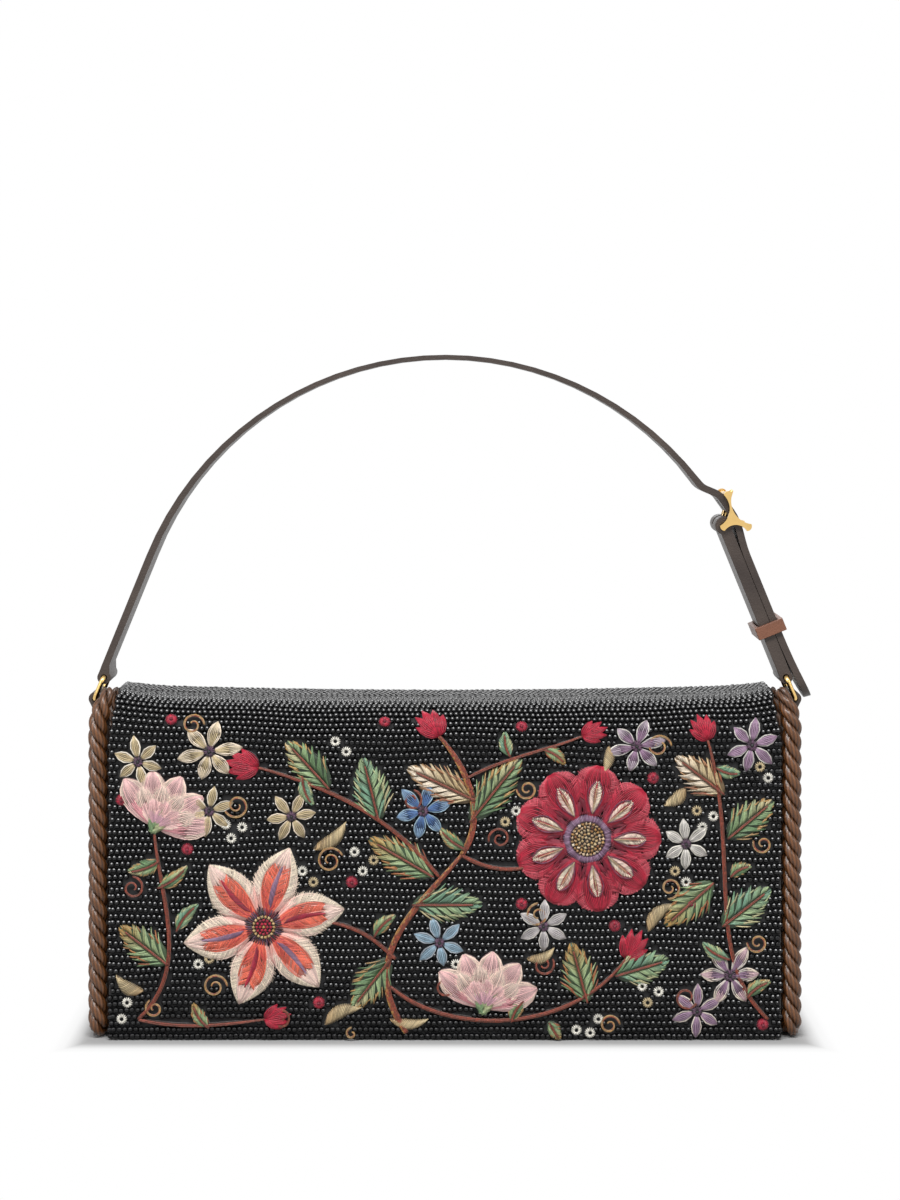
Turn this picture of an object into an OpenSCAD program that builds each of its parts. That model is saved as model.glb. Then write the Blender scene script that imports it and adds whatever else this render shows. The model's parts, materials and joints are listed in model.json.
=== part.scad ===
// Baguette bag with a full beaded flap, rope-trimmed sides and a buckled leather shoulder strap.
// Millimetres. X runs across the bag, Y from the front (-Y) to the back, Z up.
// The origin is under the middle of the bag, on the surface that it stands on.

/* [Body] */
// Width of the beaded panels between the two ropes
bag_w = 246.8; // [200:0.4:300]
// Height of the body
bag_h = 125; // [110:1:170]
// Depth of the body, from the flap's face to the back
bag_d = 46; // [42:1:70]
// Radius of the roll where the flap turns down over the front edge
front_roll = 12; // [9:0.5:14]
// Radius of the roll where the flap leaves the back panel
back_roll = 8; // [7:0.5:12]
// Radius of the bottom back edge
base_roll = 6; // [5:0.5:10]
// Thickness of the beaded cloth
bead_t = 2.6; // [2:0.1:3.2]
// Thickness of the panel leather
leather_t = 1.3; // [1:0.1:1.6]
// Thickness of the stiffening boards
board_t = 1.2; // [0.8:0.1:1.6]
// Thickness of the lining
lining_t = 0.8; // [0.5:0.1:1.2]
// Thickness of the padded gussets
gusset_t = 3.6; // [3:0.1:4.5]
// Distance from the body's top down to the front rim of the mouth
rim_drop = 11; // [10:1:20]

/* [Flap] */
// Thickness of the flap's interlining
flap_pad_t = 1.4; // [1:0.1:2]
// Thickness of the flap's leather lining
flap_lining_t = 1; // [0.8:0.1:1.4]
// Air between the closed flap and the front panel
flap_gap = 0.5; // [0.4:0.1:1.5]
// Height of the flap's hem above the ground
hem_z = 0.8; // [0.8:0.1:6]
// How much narrower the body and the flap are at their top than lower down, on each side
flap_taper = 2.2; // [1.8:0.1:6]

/* [Embroidery] */
// Height of the embroidery above the beaded cloth
thread_t = 1.2; // [0.8:0.1:1.6]
// Distance from the hem up to where the embroidery starts
art_rise = 1.2; // [0.8:0.1:4]
// Reach of the large bloom's pointed petals
star_reach = 30; // [22:0.5:32]
// Reach of the round bloom
round_reach = 27; // [20:0.5:28]
// Reach of the two half-open blooms
fan_reach = 21; // [15:0.5:24]
// Width of a leaf
leaf_w = 11.6; // [8:0.2:14]
// Width of the main stem
stem_w = 2.4; // [1.6:0.1:3.6]

/* [Rope trim] */
// Diameter over the rope's three strands
rope_dia = 7.2; // [6:0.1:8]
// Depth of the grooves between the strands
rope_groove = 0.65; // [0.3:0.05:0.9]
// Length in which a strand goes once round the rope
rope_lay = 24; // [18:1:36]
// Height of the rope's middle where it passes under a gusset
rope_low = 4.2; // [4:0.1:7]
// Lean of the rope's ends towards the middle of the bag
rope_lean = 1.8; // [0.5:0.1:1.8]
// Height of the rope's front end above the body's top
rope_over = 2.4; // [-2:0.1:3]

/* [Snap] */
// Radius of the magnetic snap
snap_r = 9; // [7:0.5:10]
// Height of the snap's middle
snap_z = 40; // [25:1:60]
// Radius of the snap's centre stud
stud_r = 3; // [2:0.1:4]

/* [Inner pocket] */
// Width of the slip pocket
pocket_w = 130; // [100:1:160]
// Height of the slip pocket
pocket_h = 68; // [50:1:80]
// Height of the slip pocket's bottom
pocket_z = 28; // [15:1:35]
// Room inside the slip pocket, from front to back
pocket_gap = 5; // [4.5:0.1:8]

/* [Strap] */
// Width of the strap
strap_w = 16; // [12:0.5:18]
// Thickness of the strap at its sides
strap_t = 2.6; // [2.2:0.1:3]
// Thickness of the strap at its crown, where it is skived
crown_t = 1.8; // [1.4:0.1:2.4]
// Height of the strap's crown above the body
strap_rise = 125.7; // [105:0.1:150]
// How much smaller the radius of the strap's bow is than half the width of the beaded panels
bow_in = 3.4; // [2:0.1:6]
// Distance between the buckle's pivot bar and the right ring's upper bar
chape_len = 61; // [50:0.5:75]
// Thickness of one layer of the folded chape
chape_t = 2.2; // [1.8:0.1:2.4]
// Length of the free tail below the keeper
tail_len = 27; // [20:1:36]
// Bend of the free tail away from the chape
tail_bend = 7; // [4:0.5:12]
// Pitch of the adjustment holes
hole_pitch = 16; // [14:1:24]

/* [Keeper] */
// Length of the keeper along the strap
keeper_len = 4.7; // [4:0.1:8]
// Thickness of the keeper's leather
keeper_t = 1.6; // [1:0.1:2]
// Distance of the keeper's middle from the buckle's pivot bar
keeper_at = 42; // [34:0.5:44]

/* [Metal] */
// Diameter of the rings' wire
ring_wire = 1.8; // [1.4:0.1:2.2]
// Distance between a ring's two long bars, from middle to middle
ring_h = 8.6; // [7.6:0.1:9.6]
// Lean of the rings towards the middle of the bag
ring_lean = 22.5; // [15:0.5:30]
// Distance from the body's top down to the rings' lower bars
ring_drop = 2.3; // [1.5:0.1:4]
// Radius of the buckle's bars
bar_r = 1.05; // [0.9:0.05:1.2]
// Thickness of the buckle's two cheeks
cheek_t = 1.8; // [1.4:0.1:2.4]

/* [Tabs] */
// Thickness of one layer of a tab's leather
tab_t = 1.3; // [1:0.1:1.6]
// Height of a tab's sewn part
tab_h = 11; // [8:0.5:16]

/* [Hidden] */
$fn = 64;

// Clearances: between pieces that move past each other, between layers, and along a hinge line
slip = 0.35;
seat = 0.1;
hinge_gap = 0.3;

// Faces of the body's layers, from the front to the back
front_y = -bag_d / 2;
back_y = bag_d / 2;
flap_t = bead_t + flap_pad_t + flap_lining_t;
panel_y = front_y + flap_t + flap_gap;
front_board_y = panel_y + leather_t;
front_in_y = front_board_y + board_t;
back_board_y = back_y - bead_t - board_t;
back_in_y = back_board_y;
hem_h = bead_t + 1.2;
face_top = bag_h - front_roll;
side_in = bag_w / 2 - seat;
flap_half = bag_w / 2 - slip;
gusset_out = bag_w / 2 + gusset_t;
rim_z = bag_h - rim_drop;
base_in_z = bead_t + board_t;

// Route of the rope's middle: down the front seam, under the gusset and up the back seam
rope_r = rope_dia / 2;
rope_x = bag_w / 2 + seat + rope_r + 0.1;
rope_top_x = rope_x - rope_lean;
rope_front_y = front_y + rope_r + 0.3;
rope_back_y = -rope_front_y;
rope_turn = 5.2;
rope_lean_h = 13;
rope_end_z = bag_h + rope_over;
rope_drop = rope_end_z - rope_lean_h;
rope_step = 2.4;
rope_side = [
    [rope_top_x, rope_front_y + 4.2, rope_end_z],
    [rope_top_x + 0.1 * rope_lean, rope_front_y + 2.6, rope_end_z - 1.8],
    [rope_top_x + 0.4 * rope_lean, rope_front_y + 1.1, rope_end_z - 4.6],
    [rope_top_x + 0.8 * rope_lean, rope_front_y + 0.3, rope_end_z - 8.4],
    [rope_x, rope_front_y, rope_drop]];
rope_back_end = 2;

// Rings: lower bars in the tabs, upper bars in the strap's and the chape's loops
wire_r = ring_wire / 2;
ring_z = bag_h - ring_drop;
low_bar = [gusset_out + hinge_gap + 2 * tab_t + 0.3, ring_z];
up_bar = low_bar + ring_h * [-sin(ring_lean), cos(ring_lean)];
eye_r = wire_r + 0.25;
strap_eye = eye_r + 1.35;
ring_room = 0.6;

// Strap: a bow about bow_c, with a straight leg that is tangent to the bow and to the ring's loop
strap_bow = bag_w / 2 - bow_in;
bow_c = [0, bag_h + strap_rise - strap_bow];
span = up_bar - bow_c;
leg_a = atan2(span[1], span[0]) + acos((strap_bow - strap_eye) / norm(span));
bow_end = leg_a + 15;
bow_step = 4;

// Buckle, in the chape's own frame: u runs outwards from the bag, v up the chape from the ring
out_dir = [cos(leg_a), sin(leg_a)];
up_dir = [-sin(leg_a), cos(leg_a)];
pivot = up_bar + chape_len * up_dir;
pivot_eye = bar_r + 0.1 + chape_t;
over_u = pivot_eye + 0.2 + strap_t / 2;
tongue_u = chape_t + 0.15 + strap_t / 2;
entry_u = over_u - 1.85;
entry_bar = [entry_u + strap_t / 2 + bar_r + seat, 9.8];
rest_bar = [over_u + strap_t / 2 + bar_r + 0.35, -3.2];
cheek_y = strap_w / 2 + 0.45;
prong_r = 0.75;
prong_lean = atan2(entry_bar[0], entry_bar[1]) + asin((bar_r + prong_r + seat) / norm(entry_bar));
prong_reach = norm(entry_bar) + 1.6;
prong_slot = [2 * prong_r + 0.8, 7.8];

// A point of the chape's frame, given as u and v from the pivot bar
function at(u, v) = pivot + u * out_dir + v * up_dir;

// A point between two, and a cubic curve through two ends with two handles
function mix(a, b, t) = a + t * (b - a);
function unit(v) = v / norm(v);
function bezier(a, b, c, d, t) =
    mix(mix(mix(a, b, t), mix(b, c, t), t), mix(mix(b, c, t), mix(c, d, t), t), t);

// The strap's thickness on the bow, by the angle of the place above the horizontal
function bow_t(a) = mix(strap_t, crown_t, max(0, (sin(a) - sin(leg_a)) / (1 - sin(leg_a))));
function bow_point(a) = bow_c + (strap_bow - bow_t(a) / 2) * [cos(a), sin(a)];

// A ribbon of a given thickness along a middle line, as one outline
function tangent(p, i) = p[min(i + 1, len(p) - 1)] - p[max(i - 1, 0)];
function normal(p, i) = let (t = tangent(p, i)) [-t[1], t[0]] / norm(t);
function ribbon(p, t) = concat(
    [for (i = [0:len(p) - 1]) p[i] - normal(p, i) * t[i] / 2],
    [for (i = [len(p) - 1:-1:0]) p[i] + normal(p, i) * t[i] / 2]);

// Middle line of the strap, from the left ring over the crown to the tip of the tail
leg_bottom = 3.2;
left_leg = [for (s = [leg_bottom, 20])
    [-up_bar[0], up_bar[1]] + (strap_eye - strap_t / 2) * [-out_dir[0], out_dir[1]]
    + s * [-up_dir[0], up_dir[1]]];
bow = [for (a = [180 - leg_a:-bow_step:bow_end + bow_step / 2]) bow_point(a)];
bow_ts = [for (a = [180 - leg_a:-bow_step:bow_end + bow_step / 2]) bow_t(a)];
bow_out = bow_point(bow_end);
bow_dir = [sin(bow_end), -cos(bow_end)];
entry = at(entry_u, entry_bar[1]);
entry_dir = unit(0.19 * out_dir - up_dir);
reach = norm(bow_out - entry) / 3;
over_curve = concat(
    [for (t = [0:0.125:0.875])
        bezier(bow_out, bow_out + reach * bow_dir, entry - reach * entry_dir, entry, t)],
    [for (t = [0:0.2:0.8])
        bezier(entry, entry + 3 * entry_dir, at(over_u, 3), at(over_u, 0), t)]);
down_curve = [for (t = [0:0.2:1])
    bezier(at(over_u, 0), at(over_u + 0.2, -4), at(tongue_u, -8), at(tongue_u, -14), t)];
tail_start = -keeper_at - 3;
tail_r = tail_len / (tail_bend * PI / 180);
tail = [for (a = [0:tail_bend / 5:tail_bend])
    at(tongue_u + tail_r * (1 - cos(a)), tail_start - tail_r * sin(a))];
strap_line = concat(left_leg, bow, over_curve, down_curve, tail);
strap_ts = [for (i = [0:len(strap_line) - 1])
    i < 2 || i >= 2 + len(bow) ? strap_t : bow_ts[i - 2]];
strap_tip = tail[len(tail) - 1];

// Cross-section helpers: a profile in Y and Z drawn along X, one in X and Z along Y, one in X and Y up Z
module along_x(w) {
    rotate([90, 0, 90]) linear_extrude(w, center = true) children();
}
module along_y(w) {
    rotate([90, 0, 0]) linear_extrude(w, center = true) children();
}
module both_sides() {
    children();
    mirror([1, 0, 0]) children();
}

// A box given by its corners
module block(low, high) {
    translate(low) cube(high - low);
}

// The body's rounded outline in Y and Z, taken in by an inset
module outline(inset) {
    top = bag_h - inset;
    fr = front_roll - inset;
    br = back_roll - inset;
    lr = base_roll - inset;
    translate([front_y + inset, -20]) square([bag_d / 2, top - fr + 20]);
    translate([front_y + front_roll, -20]) square([bag_d - front_roll - back_roll, top + 20]);
    translate([front_y + front_roll, bag_h - front_roll]) circle(fr);
    translate([0, base_roll]) square([back_y - inset, bag_h - back_roll - base_roll]);
    translate([0, inset]) square([back_y - base_roll, bag_h / 2]);
    translate([back_y - back_roll, bag_h - back_roll]) circle(br);
    translate([back_y - base_roll, base_roll]) circle(lr);
}

// One layer of the cloth that wraps the body, between two insets
module layer(a, b) {
    difference() {
        outline(a);
        outline(b);
    }
}

// Wedges of the Y-Z plane: the flap's front, its top and the back, parted at the two rolls
module front_side(gap) {
    translate([front_y + front_roll - gap * sqrt(0.5), bag_h - front_roll - gap * sqrt(0.5)])
        polygon([[0, 0], [-bag_d, bag_d], [-2 * bag_d, 0], [-2 * bag_d, -2 * bag_h], [0, -2 * bag_h]]);
}
module back_side(gap) {
    translate([back_y - back_roll + gap * sqrt(0.5), bag_h - back_roll - gap * sqrt(0.5)])
        polygon([[0, 0], [bag_d, bag_d], [2 * bag_d, 0], [2 * bag_d, -2 * bag_h], [0, -2 * bag_h]]);
}
module top_side() {
    difference() {
        translate([front_y, bag_h / 2]) square([bag_d, bag_h]);
        translate([-bag_d, -bag_h / 2]) square([3 * bag_d, bag_h * 1.25]);
        front_side(-hinge_gap / 2);
        back_side(-hinge_gap / 2);
    }
}

// An outline seen from the front, narrower where it passes between the rope's leaning ends
taper_low = bag_h - 18;
taper_high = bag_h - 5;
module tapered(half) {
    intersection() {
        children();
        along_y(3 * bag_d) polygon([
            [-half, -1], [half, -1], [half, taper_low], [half - flap_taper, taper_high],
            [half - flap_taper, bag_h + 1], [-half + flap_taper, bag_h + 1],
            [-half + flap_taper, taper_high], [-half, taper_low]]);
    }
}

// One layer of the flap's front, down to a height
module front_profile(a, b, low) {
    intersection() {
        layer(a, b);
        front_side(hinge_gap / 2);
        translate([front_y - 1, low]) square([2 * bag_d, bag_h]);
    }
}
module flap_front_layer(a, b, low) {
    tapered(flap_half - 1) along_x(bag_w) front_profile(a, b, low);
}

// One layer of the flap's top
module flap_top_layer(a, b) {
    along_x(2 * (flap_half - flap_taper - (a > 0 ? 1 : 0))) intersection() {
        layer(a, b);
        top_side();
    }
}

// A disc or hole across the body's depth at the snap
module snap_disc(r, y0, y1) {
    translate([0, y0, snap_z]) rotate([-90, 0, 0]) cylinder(r = r, h = y1 - y0);
}

module back_panel() {
    color([0.04, 0.04, 0.05]) tapered(bag_w / 2) along_x(bag_w) intersection() {
        layer(0, bead_t);
        back_side(hinge_gap / 2);
        translate([back_y - base_roll, 0]) square([base_roll, bag_h]);
    }
}

// The front panel: leather that turns over the front board and the lining in a round rim
module front_panel() {
    edge_r = (front_in_y + lining_t - panel_y) / 2;
    color([0.16, 0.12, 0.10]) difference() {
        tapered(bag_w / 2) along_x(bag_w) difference() {
            union() {
                translate([panel_y, bead_t]) square([2 * edge_r, rim_z - bead_t]);
                translate([panel_y + edge_r, rim_z]) circle(edge_r);
            }
            translate([front_board_y, 0]) square([2 * edge_r, rim_z]);
        }
        snap_disc(snap_r + seat, panel_y - 1, front_board_y + 1);
    }
}

module base_panel() {
    color([0.04, 0.04, 0.05])
        block([-bag_w / 2, panel_y, 0], [bag_w / 2, back_y - base_roll, bead_t]);
}

// A gusset's side wall, with a groove down each edge for the rope and a dip between the ropes
dip_r = 44;
dip = 2;
module gusset() {
    low = rope_low + rope_r + seat;
    difference() {
        block([bag_w / 2, front_board_y, low], [gusset_out, back_y - bead_t, rope_drop]);
        for (y = [rope_front_y, rope_back_y])
            translate([rope_x, y, 0]) cylinder(r = rope_r + seat, h = bag_h);
        for (y = [rope_front_y, rope_back_y]) {
            inner = rope_turn - rope_r - seat;
            s = sign(y);
            translate([rope_x, y - s * rope_turn, rope_low + rope_turn]) rotate([90, 0, 90])
                difference() {
                    translate([s > 0 ? 0 : -bag_d / 2, -bag_d / 2, -rope_dia])
                        cube([bag_d / 2, bag_d / 2, 2 * rope_dia]);
                    cylinder(r = inner, h = 3 * rope_dia, center = true);
                }
        }
        translate([bag_w / 2 - 1, 0, rope_drop + dip_r - dip]) rotate([0, 90, 0])
            cylinder(r = dip_r, h = gusset_t + 2, $fn = 96);
    }
}
module gusset_left() {
    color([0.17, 0.12, 0.09]) mirror([1, 0, 0]) gusset();
}
module gusset_right() {
    color([0.17, 0.12, 0.09]) gusset();
}

module back_board() {
    color([0.55, 0.5, 0.42])
        tapered(side_in) block([-side_in, back_board_y, base_roll], [side_in, back_y - bead_t, rim_z]);
}

module front_board() {
    color([0.55, 0.5, 0.42]) difference() {
        tapered(side_in) block([-side_in, front_board_y, bead_t], [side_in, front_in_y, rim_z]);
        snap_disc(snap_r + seat, front_board_y - 1, front_in_y + 1);
    }
}

module base_board() {
    color([0.55, 0.5, 0.42]) block([-side_in, front_in_y, bead_t], [side_in, back_y - base_roll, base_in_z]);
}

module lining() {
    color([0.35, 0.2, 0.14]) difference() {
        tapered(side_in) block([-side_in, front_in_y, base_in_z], [side_in, back_in_y, rim_z]);
        block([-side_in + lining_t, front_in_y + lining_t, base_in_z + lining_t],
            [side_in - lining_t, back_in_y - lining_t, rim_z + 1]);
    }
}

// A card pocket on the back lining, open at its top, with a turned top edge
module slip_pocket() {
    wall = 1;
    y1 = back_in_y - lining_t;
    y0 = y1 - pocket_gap - wall;
    color([0.4, 0.24, 0.17]) {
        difference() {
            block([-pocket_w / 2, y0, pocket_z], [pocket_w / 2, y1, pocket_z + pocket_h]);
            block([-pocket_w / 2 + wall, y0 + wall, pocket_z + wall],
                [pocket_w / 2 - wall, y1 + 1, pocket_z + pocket_h + 1]);
        }
        translate([0, y0 + wall / 2, pocket_z + pocket_h - 0.9]) rotate([0, 90, 0])
            cylinder(r = 0.9, h = pocket_w - 2, center = true);
    }
}

// Rope: rings of a three-lobed section, turned as they go along the route, whose back end is lower
function arc_points(c, r, a0, a1, n) =
    [for (i = [0:n]) let (a = mix(a0, a1, i / n)) [rope_x, c[0] + r * cos(a), c[1] + r * sin(a)]];
rope_bend = rope_low + rope_turn;
rope_half = concat(
    rope_side,
    [for (z = [rope_drop - rope_step:-rope_step:rope_bend + rope_step / 2]) [rope_x, rope_front_y, z]],
    arc_points([rope_front_y + rope_turn, rope_bend], rope_turn, 180, 270, 4),
    [for (y = [rope_front_y + rope_turn + rope_step:rope_step:-0.1]) [rope_x, y, rope_low]]);
rope_path = concat(rope_half,
    [for (i = [len(rope_half) - 1:-1:rope_back_end]) [rope_half[i][0], -rope_half[i][1], rope_half[i][2]]]);
rope_sides = 12;

// Length along the route up to a point
function run(p, i) = i == 0 ? 0 : run(p, i - 1) + norm(p[i] - p[i - 1]);

// One ring of the rope: radius over a strand at every third of the turn, less the groove between
function rope_ring(p, i, s, hand) =
    let (t = unit(p[min(i + 1, len(p) - 1)] - p[max(i - 1, 0)]),
        a = unit(cross(t, [1, 0, 0])),
        b = cross(t, a))
    [for (k = [0:rope_sides - 1])
        let (w = 360 * k / rope_sides,
            lobe = cos(3 * (w - hand * 360 * s / rope_lay)),
            r = rope_r - rope_groove * (1 - lobe) / 2)
        p[i] + r * (cos(w) * a + sin(w) * b)];

module rope(hand) {
    n = len(rope_path);
    m = rope_sides;
    rings = [for (i = [0:n - 1]) each rope_ring(rope_path, i, run(rope_path, i), hand)];
    skin = [for (i = [0:n - 2]) for (k = [0:m - 1]) for (h = [0, 1])
        let (a = i * m + k, b = i * m + (k + 1) % m)
        h == 0 ? [a, b + m, b] : [a, a + m, b + m]];
    polyhedron(rings, concat([[for (k = [0:m - 1]) k]], skin, [[for (k = [m - 1:-1:0]) (n - 1) * m + k]]));
}
module rope_left() {
    color([0.42, 0.25, 0.13]) mirror([1, 0, 0]) rope(1);
}
module rope_right() {
    color([0.42, 0.25, 0.13]) rope(-1);
}

// The magnetic snap: a socket in the front panel and a stud in the flap
washer_t = 0.5;
module snap_socket() {
    color([0.8, 0.62, 0.3]) difference() {
        snap_disc(snap_r, panel_y, front_in_y - washer_t);
        snap_disc(stud_r + 0.7, panel_y - 1, front_in_y - washer_t - 0.4);
    }
}
module snap_socket_washer() {
    color([0.7, 0.7, 0.7]) snap_disc(snap_r, front_in_y - washer_t, front_in_y);
}
module snap_stud() {
    inner = front_y + flap_t;
    color([0.8, 0.62, 0.3]) {
        snap_disc(snap_r, front_y + bead_t + washer_t, inner - 0.05);
        snap_disc(stud_r, inner - 0.06, panel_y + 1.3);
    }
}
module snap_stud_washer() {
    color([0.7, 0.7, 0.7]) snap_disc(snap_r, front_y + bead_t, front_y + bead_t + washer_t);
}

module flap_top() {
    color([0.04, 0.04, 0.05]) flap_top_layer(0, bead_t);
}
module flap_top_pad() {
    color([0.8, 0.78, 0.72]) flap_top_layer(bead_t, bead_t + flap_pad_t);
}
module flap_top_lining() {
    color([0.16, 0.12, 0.10]) flap_top_layer(bead_t + flap_pad_t, flap_t);
}

// A pointed oval between two points: what two equal circles share
module lens(a, b, w) {
    l = norm(b - a);
    r = (l * l + w * w) / (4 * w);
    translate((a + b) / 2) rotate(atan2(b[1] - a[1], b[0] - a[0])) intersection() {
        translate([0, r - w / 2]) circle(r);
        translate([0, w / 2 - r]) circle(r);
    }
}

// The embroidery's main forms, in X and up from where it starts
star_at = [-66, 40];
round_at = [52, 72];
fans = [[-106, 76, 62], [14, 10, 80]];
stem_ends = [[[-14, 1], [-34, 30], [-8, 48], [6, 66]], [[6, 66], [16, 80], [8, 98], [-2, 110]]];
leaf_ends = [
    [[-20, 28], [-34, 10]], [[-12, 48], [14, 48]], [[-4, 58], [-28, 72]], [[9, 78], [28, 102]],
    [[11, 86], [-14, 98]], [[101, 40], [119, 54]], [[98, 56], [80, 40]], [[103, 72], [120, 86]],
    [[102, 88], [84, 102]], [[-101, 26], [-119, 40]], [[-24, 78], [-30, 102]], [[-42, 90], [-58, 108]],
    [[52, 12], [46, 34]], [[62, 22], [82, 28]]];
star_petals = 6;
round_petals = 9;
fan_petals = 5;

module star_bloom() {
    translate(star_at) {
        for (k = [0:star_petals - 1]) rotate(12 + 360 * k / star_petals)
            lens([0.1 * star_reach, 0], [star_reach, 0], 0.52 * star_reach);
        circle(0.24 * star_reach);
    }
}
module round_bloom() {
    translate(round_at) {
        for (k = [0:round_petals - 1]) rotate(360 * k / round_petals)
            translate([0.72 * round_reach, 0]) circle(0.28 * round_reach);
        circle(0.76 * round_reach);
    }
}
module fan_bloom() {
    for (k = [0:fan_petals - 1]) rotate(30 * (k - (fan_petals - 1) / 2))
        lens([0, 0], [fan_reach, 0], 0.48 * fan_reach);
}

// The stitched relief, kept to the flat of the flap's face; its middles stand a little higher
module embroidery() {
    half = flap_half - flap_taper;
    translate([0, front_y + bead_t / 3, 0]) rotate([90, 0, 0]) {
        linear_extrude(bead_t / 3 + thread_t) intersection() {
            translate([0, hem_z + art_rise]) {
                star_bloom();
                round_bloom();
                for (f = fans) translate([f[0], f[1]]) rotate(f[2]) fan_bloom();
                for (e = leaf_ends) lens(e[0], e[1], leaf_w);
                for (e = stem_ends) {
                    line = [for (t = [0:0.125:1]) bezier(e[0], e[1], e[2], e[3], t)];
                    polygon(ribbon(line, [for (p = line) stem_w]));
                }
            }
            translate([-half, hem_z + 0.8]) square([2 * half, face_top - hem_z - 1]);
        }
        linear_extrude(bead_t / 3 + thread_t + 0.5) intersection() {
            translate([0, hem_z + art_rise]) {
                translate(star_at) circle(0.16 * star_reach);
                translate(round_at) circle(0.42 * round_reach);
            }
            translate([-half, hem_z + 0.8]) square([2 * half, face_top - hem_z - 1]);
        }
    }
}

// The beaded front, with a rounded hem that closes over the board and the lining, and its embroidery
module flap_front() {
    color([0.04, 0.04, 0.05]) {
        tapered(flap_half) along_x(bag_w) {
            front_profile(0, bead_t, hem_z + hem_h);
            translate([front_y, hem_z]) difference() {
                square([flap_t, hem_h]);
                difference() {
                    translate([-1, -1]) square([bead_t + 1, bead_t + 1]);
                    translate([bead_t, bead_t]) circle(bead_t);
                }
            }
        }
        embroidery();
    }
}
module flap_front_board() {
    color([0.55, 0.5, 0.42]) difference() {
        flap_front_layer(bead_t, bead_t + flap_pad_t, hem_z + hem_h);
        snap_disc(snap_r + seat, front_y, panel_y);
    }
}
module flap_front_lining() {
    color([0.16, 0.12, 0.10]) difference() {
        flap_front_layer(bead_t + flap_pad_t, flap_t, hem_z + hem_h);
        snap_disc(snap_r + seat, front_y, panel_y);
    }
}

// A tab for the right side: leather round the ring's lower bar, then two layers down the gusset
module tab() {
    face = gusset_out + hinge_gap;
    loop_r = eye_r + tab_t;
    top = ring_z - 5;
    along_y(strap_w) difference() {
        union() {
            translate(low_bar) circle(loop_r);
            translate([face, top - tab_h]) square([2 * tab_t, tab_h]);
            polygon([[face, top - 1], [face + 2 * tab_t, top - 1],
                low_bar + loop_r * [cos(-20), sin(-20)], low_bar + loop_r * [cos(125), sin(125)]]);
        }
        translate(low_bar) circle(eye_r);
    }
}
module tab_left() {
    color([0.15, 0.11, 0.09]) mirror([1, 0, 0]) tab();
}
module tab_right() {
    color([0.15, 0.11, 0.09]) tab();
}

// A rectangular ring with rounded corners, standing in the plane of Y and its own lean
module ring() {
    corner = 1.7;
    half = strap_w / 2 + ring_room + wire_r;
    translate([low_bar[0], 0, low_bar[1]]) rotate([0, -ring_lean, 0]) {
        for (z = [0, ring_h]) translate([0, 0, z]) rotate([90, 0, 0])
            cylinder(r = wire_r, h = 2 * (half - corner), center = true);
        for (s = [-1, 1]) {
            translate([0, s * half, corner]) cylinder(r = wire_r, h = ring_h - 2 * corner);
            for (v = [0, 1]) translate([0, s * (half - corner), v ? ring_h - corner : corner])
                rotate([0, 0, s > 0 ? 0 : 180]) rotate([0, 90, 0]) rotate([0, 0, v ? 90 : 0])
                    rotate_extrude(angle = 90) translate([corner, 0]) circle(wire_r);
        }
    }
}
module ring_left() {
    color([0.83, 0.65, 0.32]) mirror([1, 0, 0]) ring();
}
module ring_right() {
    color([0.83, 0.65, 0.32]) ring();
}

// A round hole through the strap where its middle line has a point and a normal
module punch(p, a) {
    translate([p[0], 0, p[1]]) rotate([0, -a, 0]) rotate([0, 90, 0])
        cylinder(r = 1.1, h = 2 * strap_t, center = true);
}

// The long strap: its eye round the left ring, the bow, and the tongue through the buckle
module strap() {
    left_up = [-up_bar[0], up_bar[1]];
    left_out = [-out_dir[0], out_dir[1]];
    left_along = [-up_dir[0], up_dir[1]];
    color([0.14, 0.11, 0.10]) difference() {
        along_y(strap_w) difference() {
            union() {
                polygon(ribbon(strap_line, strap_ts));
                translate(left_up) circle(strap_eye);
                polygon([left_up + 0.98 * strap_eye * left_out,
                    left_up - 0.9 * strap_eye * left_out,
                    left_up + (leg_bottom + 2) * left_along,
                    left_up + 0.98 * strap_eye * left_out + (leg_bottom + 2) * left_along]);
            }
            translate(left_up) circle(eye_r);
        }
        for (k = [1, 2]) {
            a = bow_end + k * hole_pitch / strap_bow * 180 / PI;
            punch(bow_point(a), a);
        }
        for (k = [1, 2]) punch(at(tongue_u, -k * hole_pitch), leg_a);
        prong_room();
        tip_trim();
    }
}

// What the prong needs to pass through the strap
module prong_room() {
    translate([pivot[0], 0, pivot[1]]) rotate([0, -leg_a, 0])
        block([-0.5, -prong_slot[0] / 2, 1.2], [7.5, prong_slot[0] / 2, 1.2 + prong_slot[1]]);
}

// What is cut off the tail's end to leave a round tip
module tip_trim() {
    tip_r = strap_w / 2;
    translate([strap_tip[0], 0, strap_tip[1]]) rotate([0, -(leg_a - tail_bend), 0])
        difference() {
            translate([-strap_t, -strap_w, -1]) cube([2 * strap_t, 2 * strap_w, tip_r + 1]);
            translate([0, 0, tip_r]) rotate([0, 90, 0])
                cylinder(r = tip_r, h = 4 * strap_t, center = true);
        }
}

// The chape: one band folded round the pivot bar and the right ring's upper bar
module chape() {
    color([0.15, 0.12, 0.10]) difference() {
        along_y(strap_w) difference() {
            union() {
                translate(pivot) circle(pivot_eye);
                translate(up_bar) circle(strap_eye);
                translate(up_bar) rotate(leg_a) translate([-chape_t, 0.5]) square([2 * chape_t, chape_len - 0.5]);
            }
            translate(pivot) circle(bar_r + 0.1);
            translate(up_bar) circle(eye_r);
        }
        translate([pivot[0], 0, pivot[1]]) rotate([0, -leg_a, 0])
            block([-3, -prong_slot[0] / 2, -3], [6, prong_slot[0] / 2, 6]);
    }
}

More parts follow.
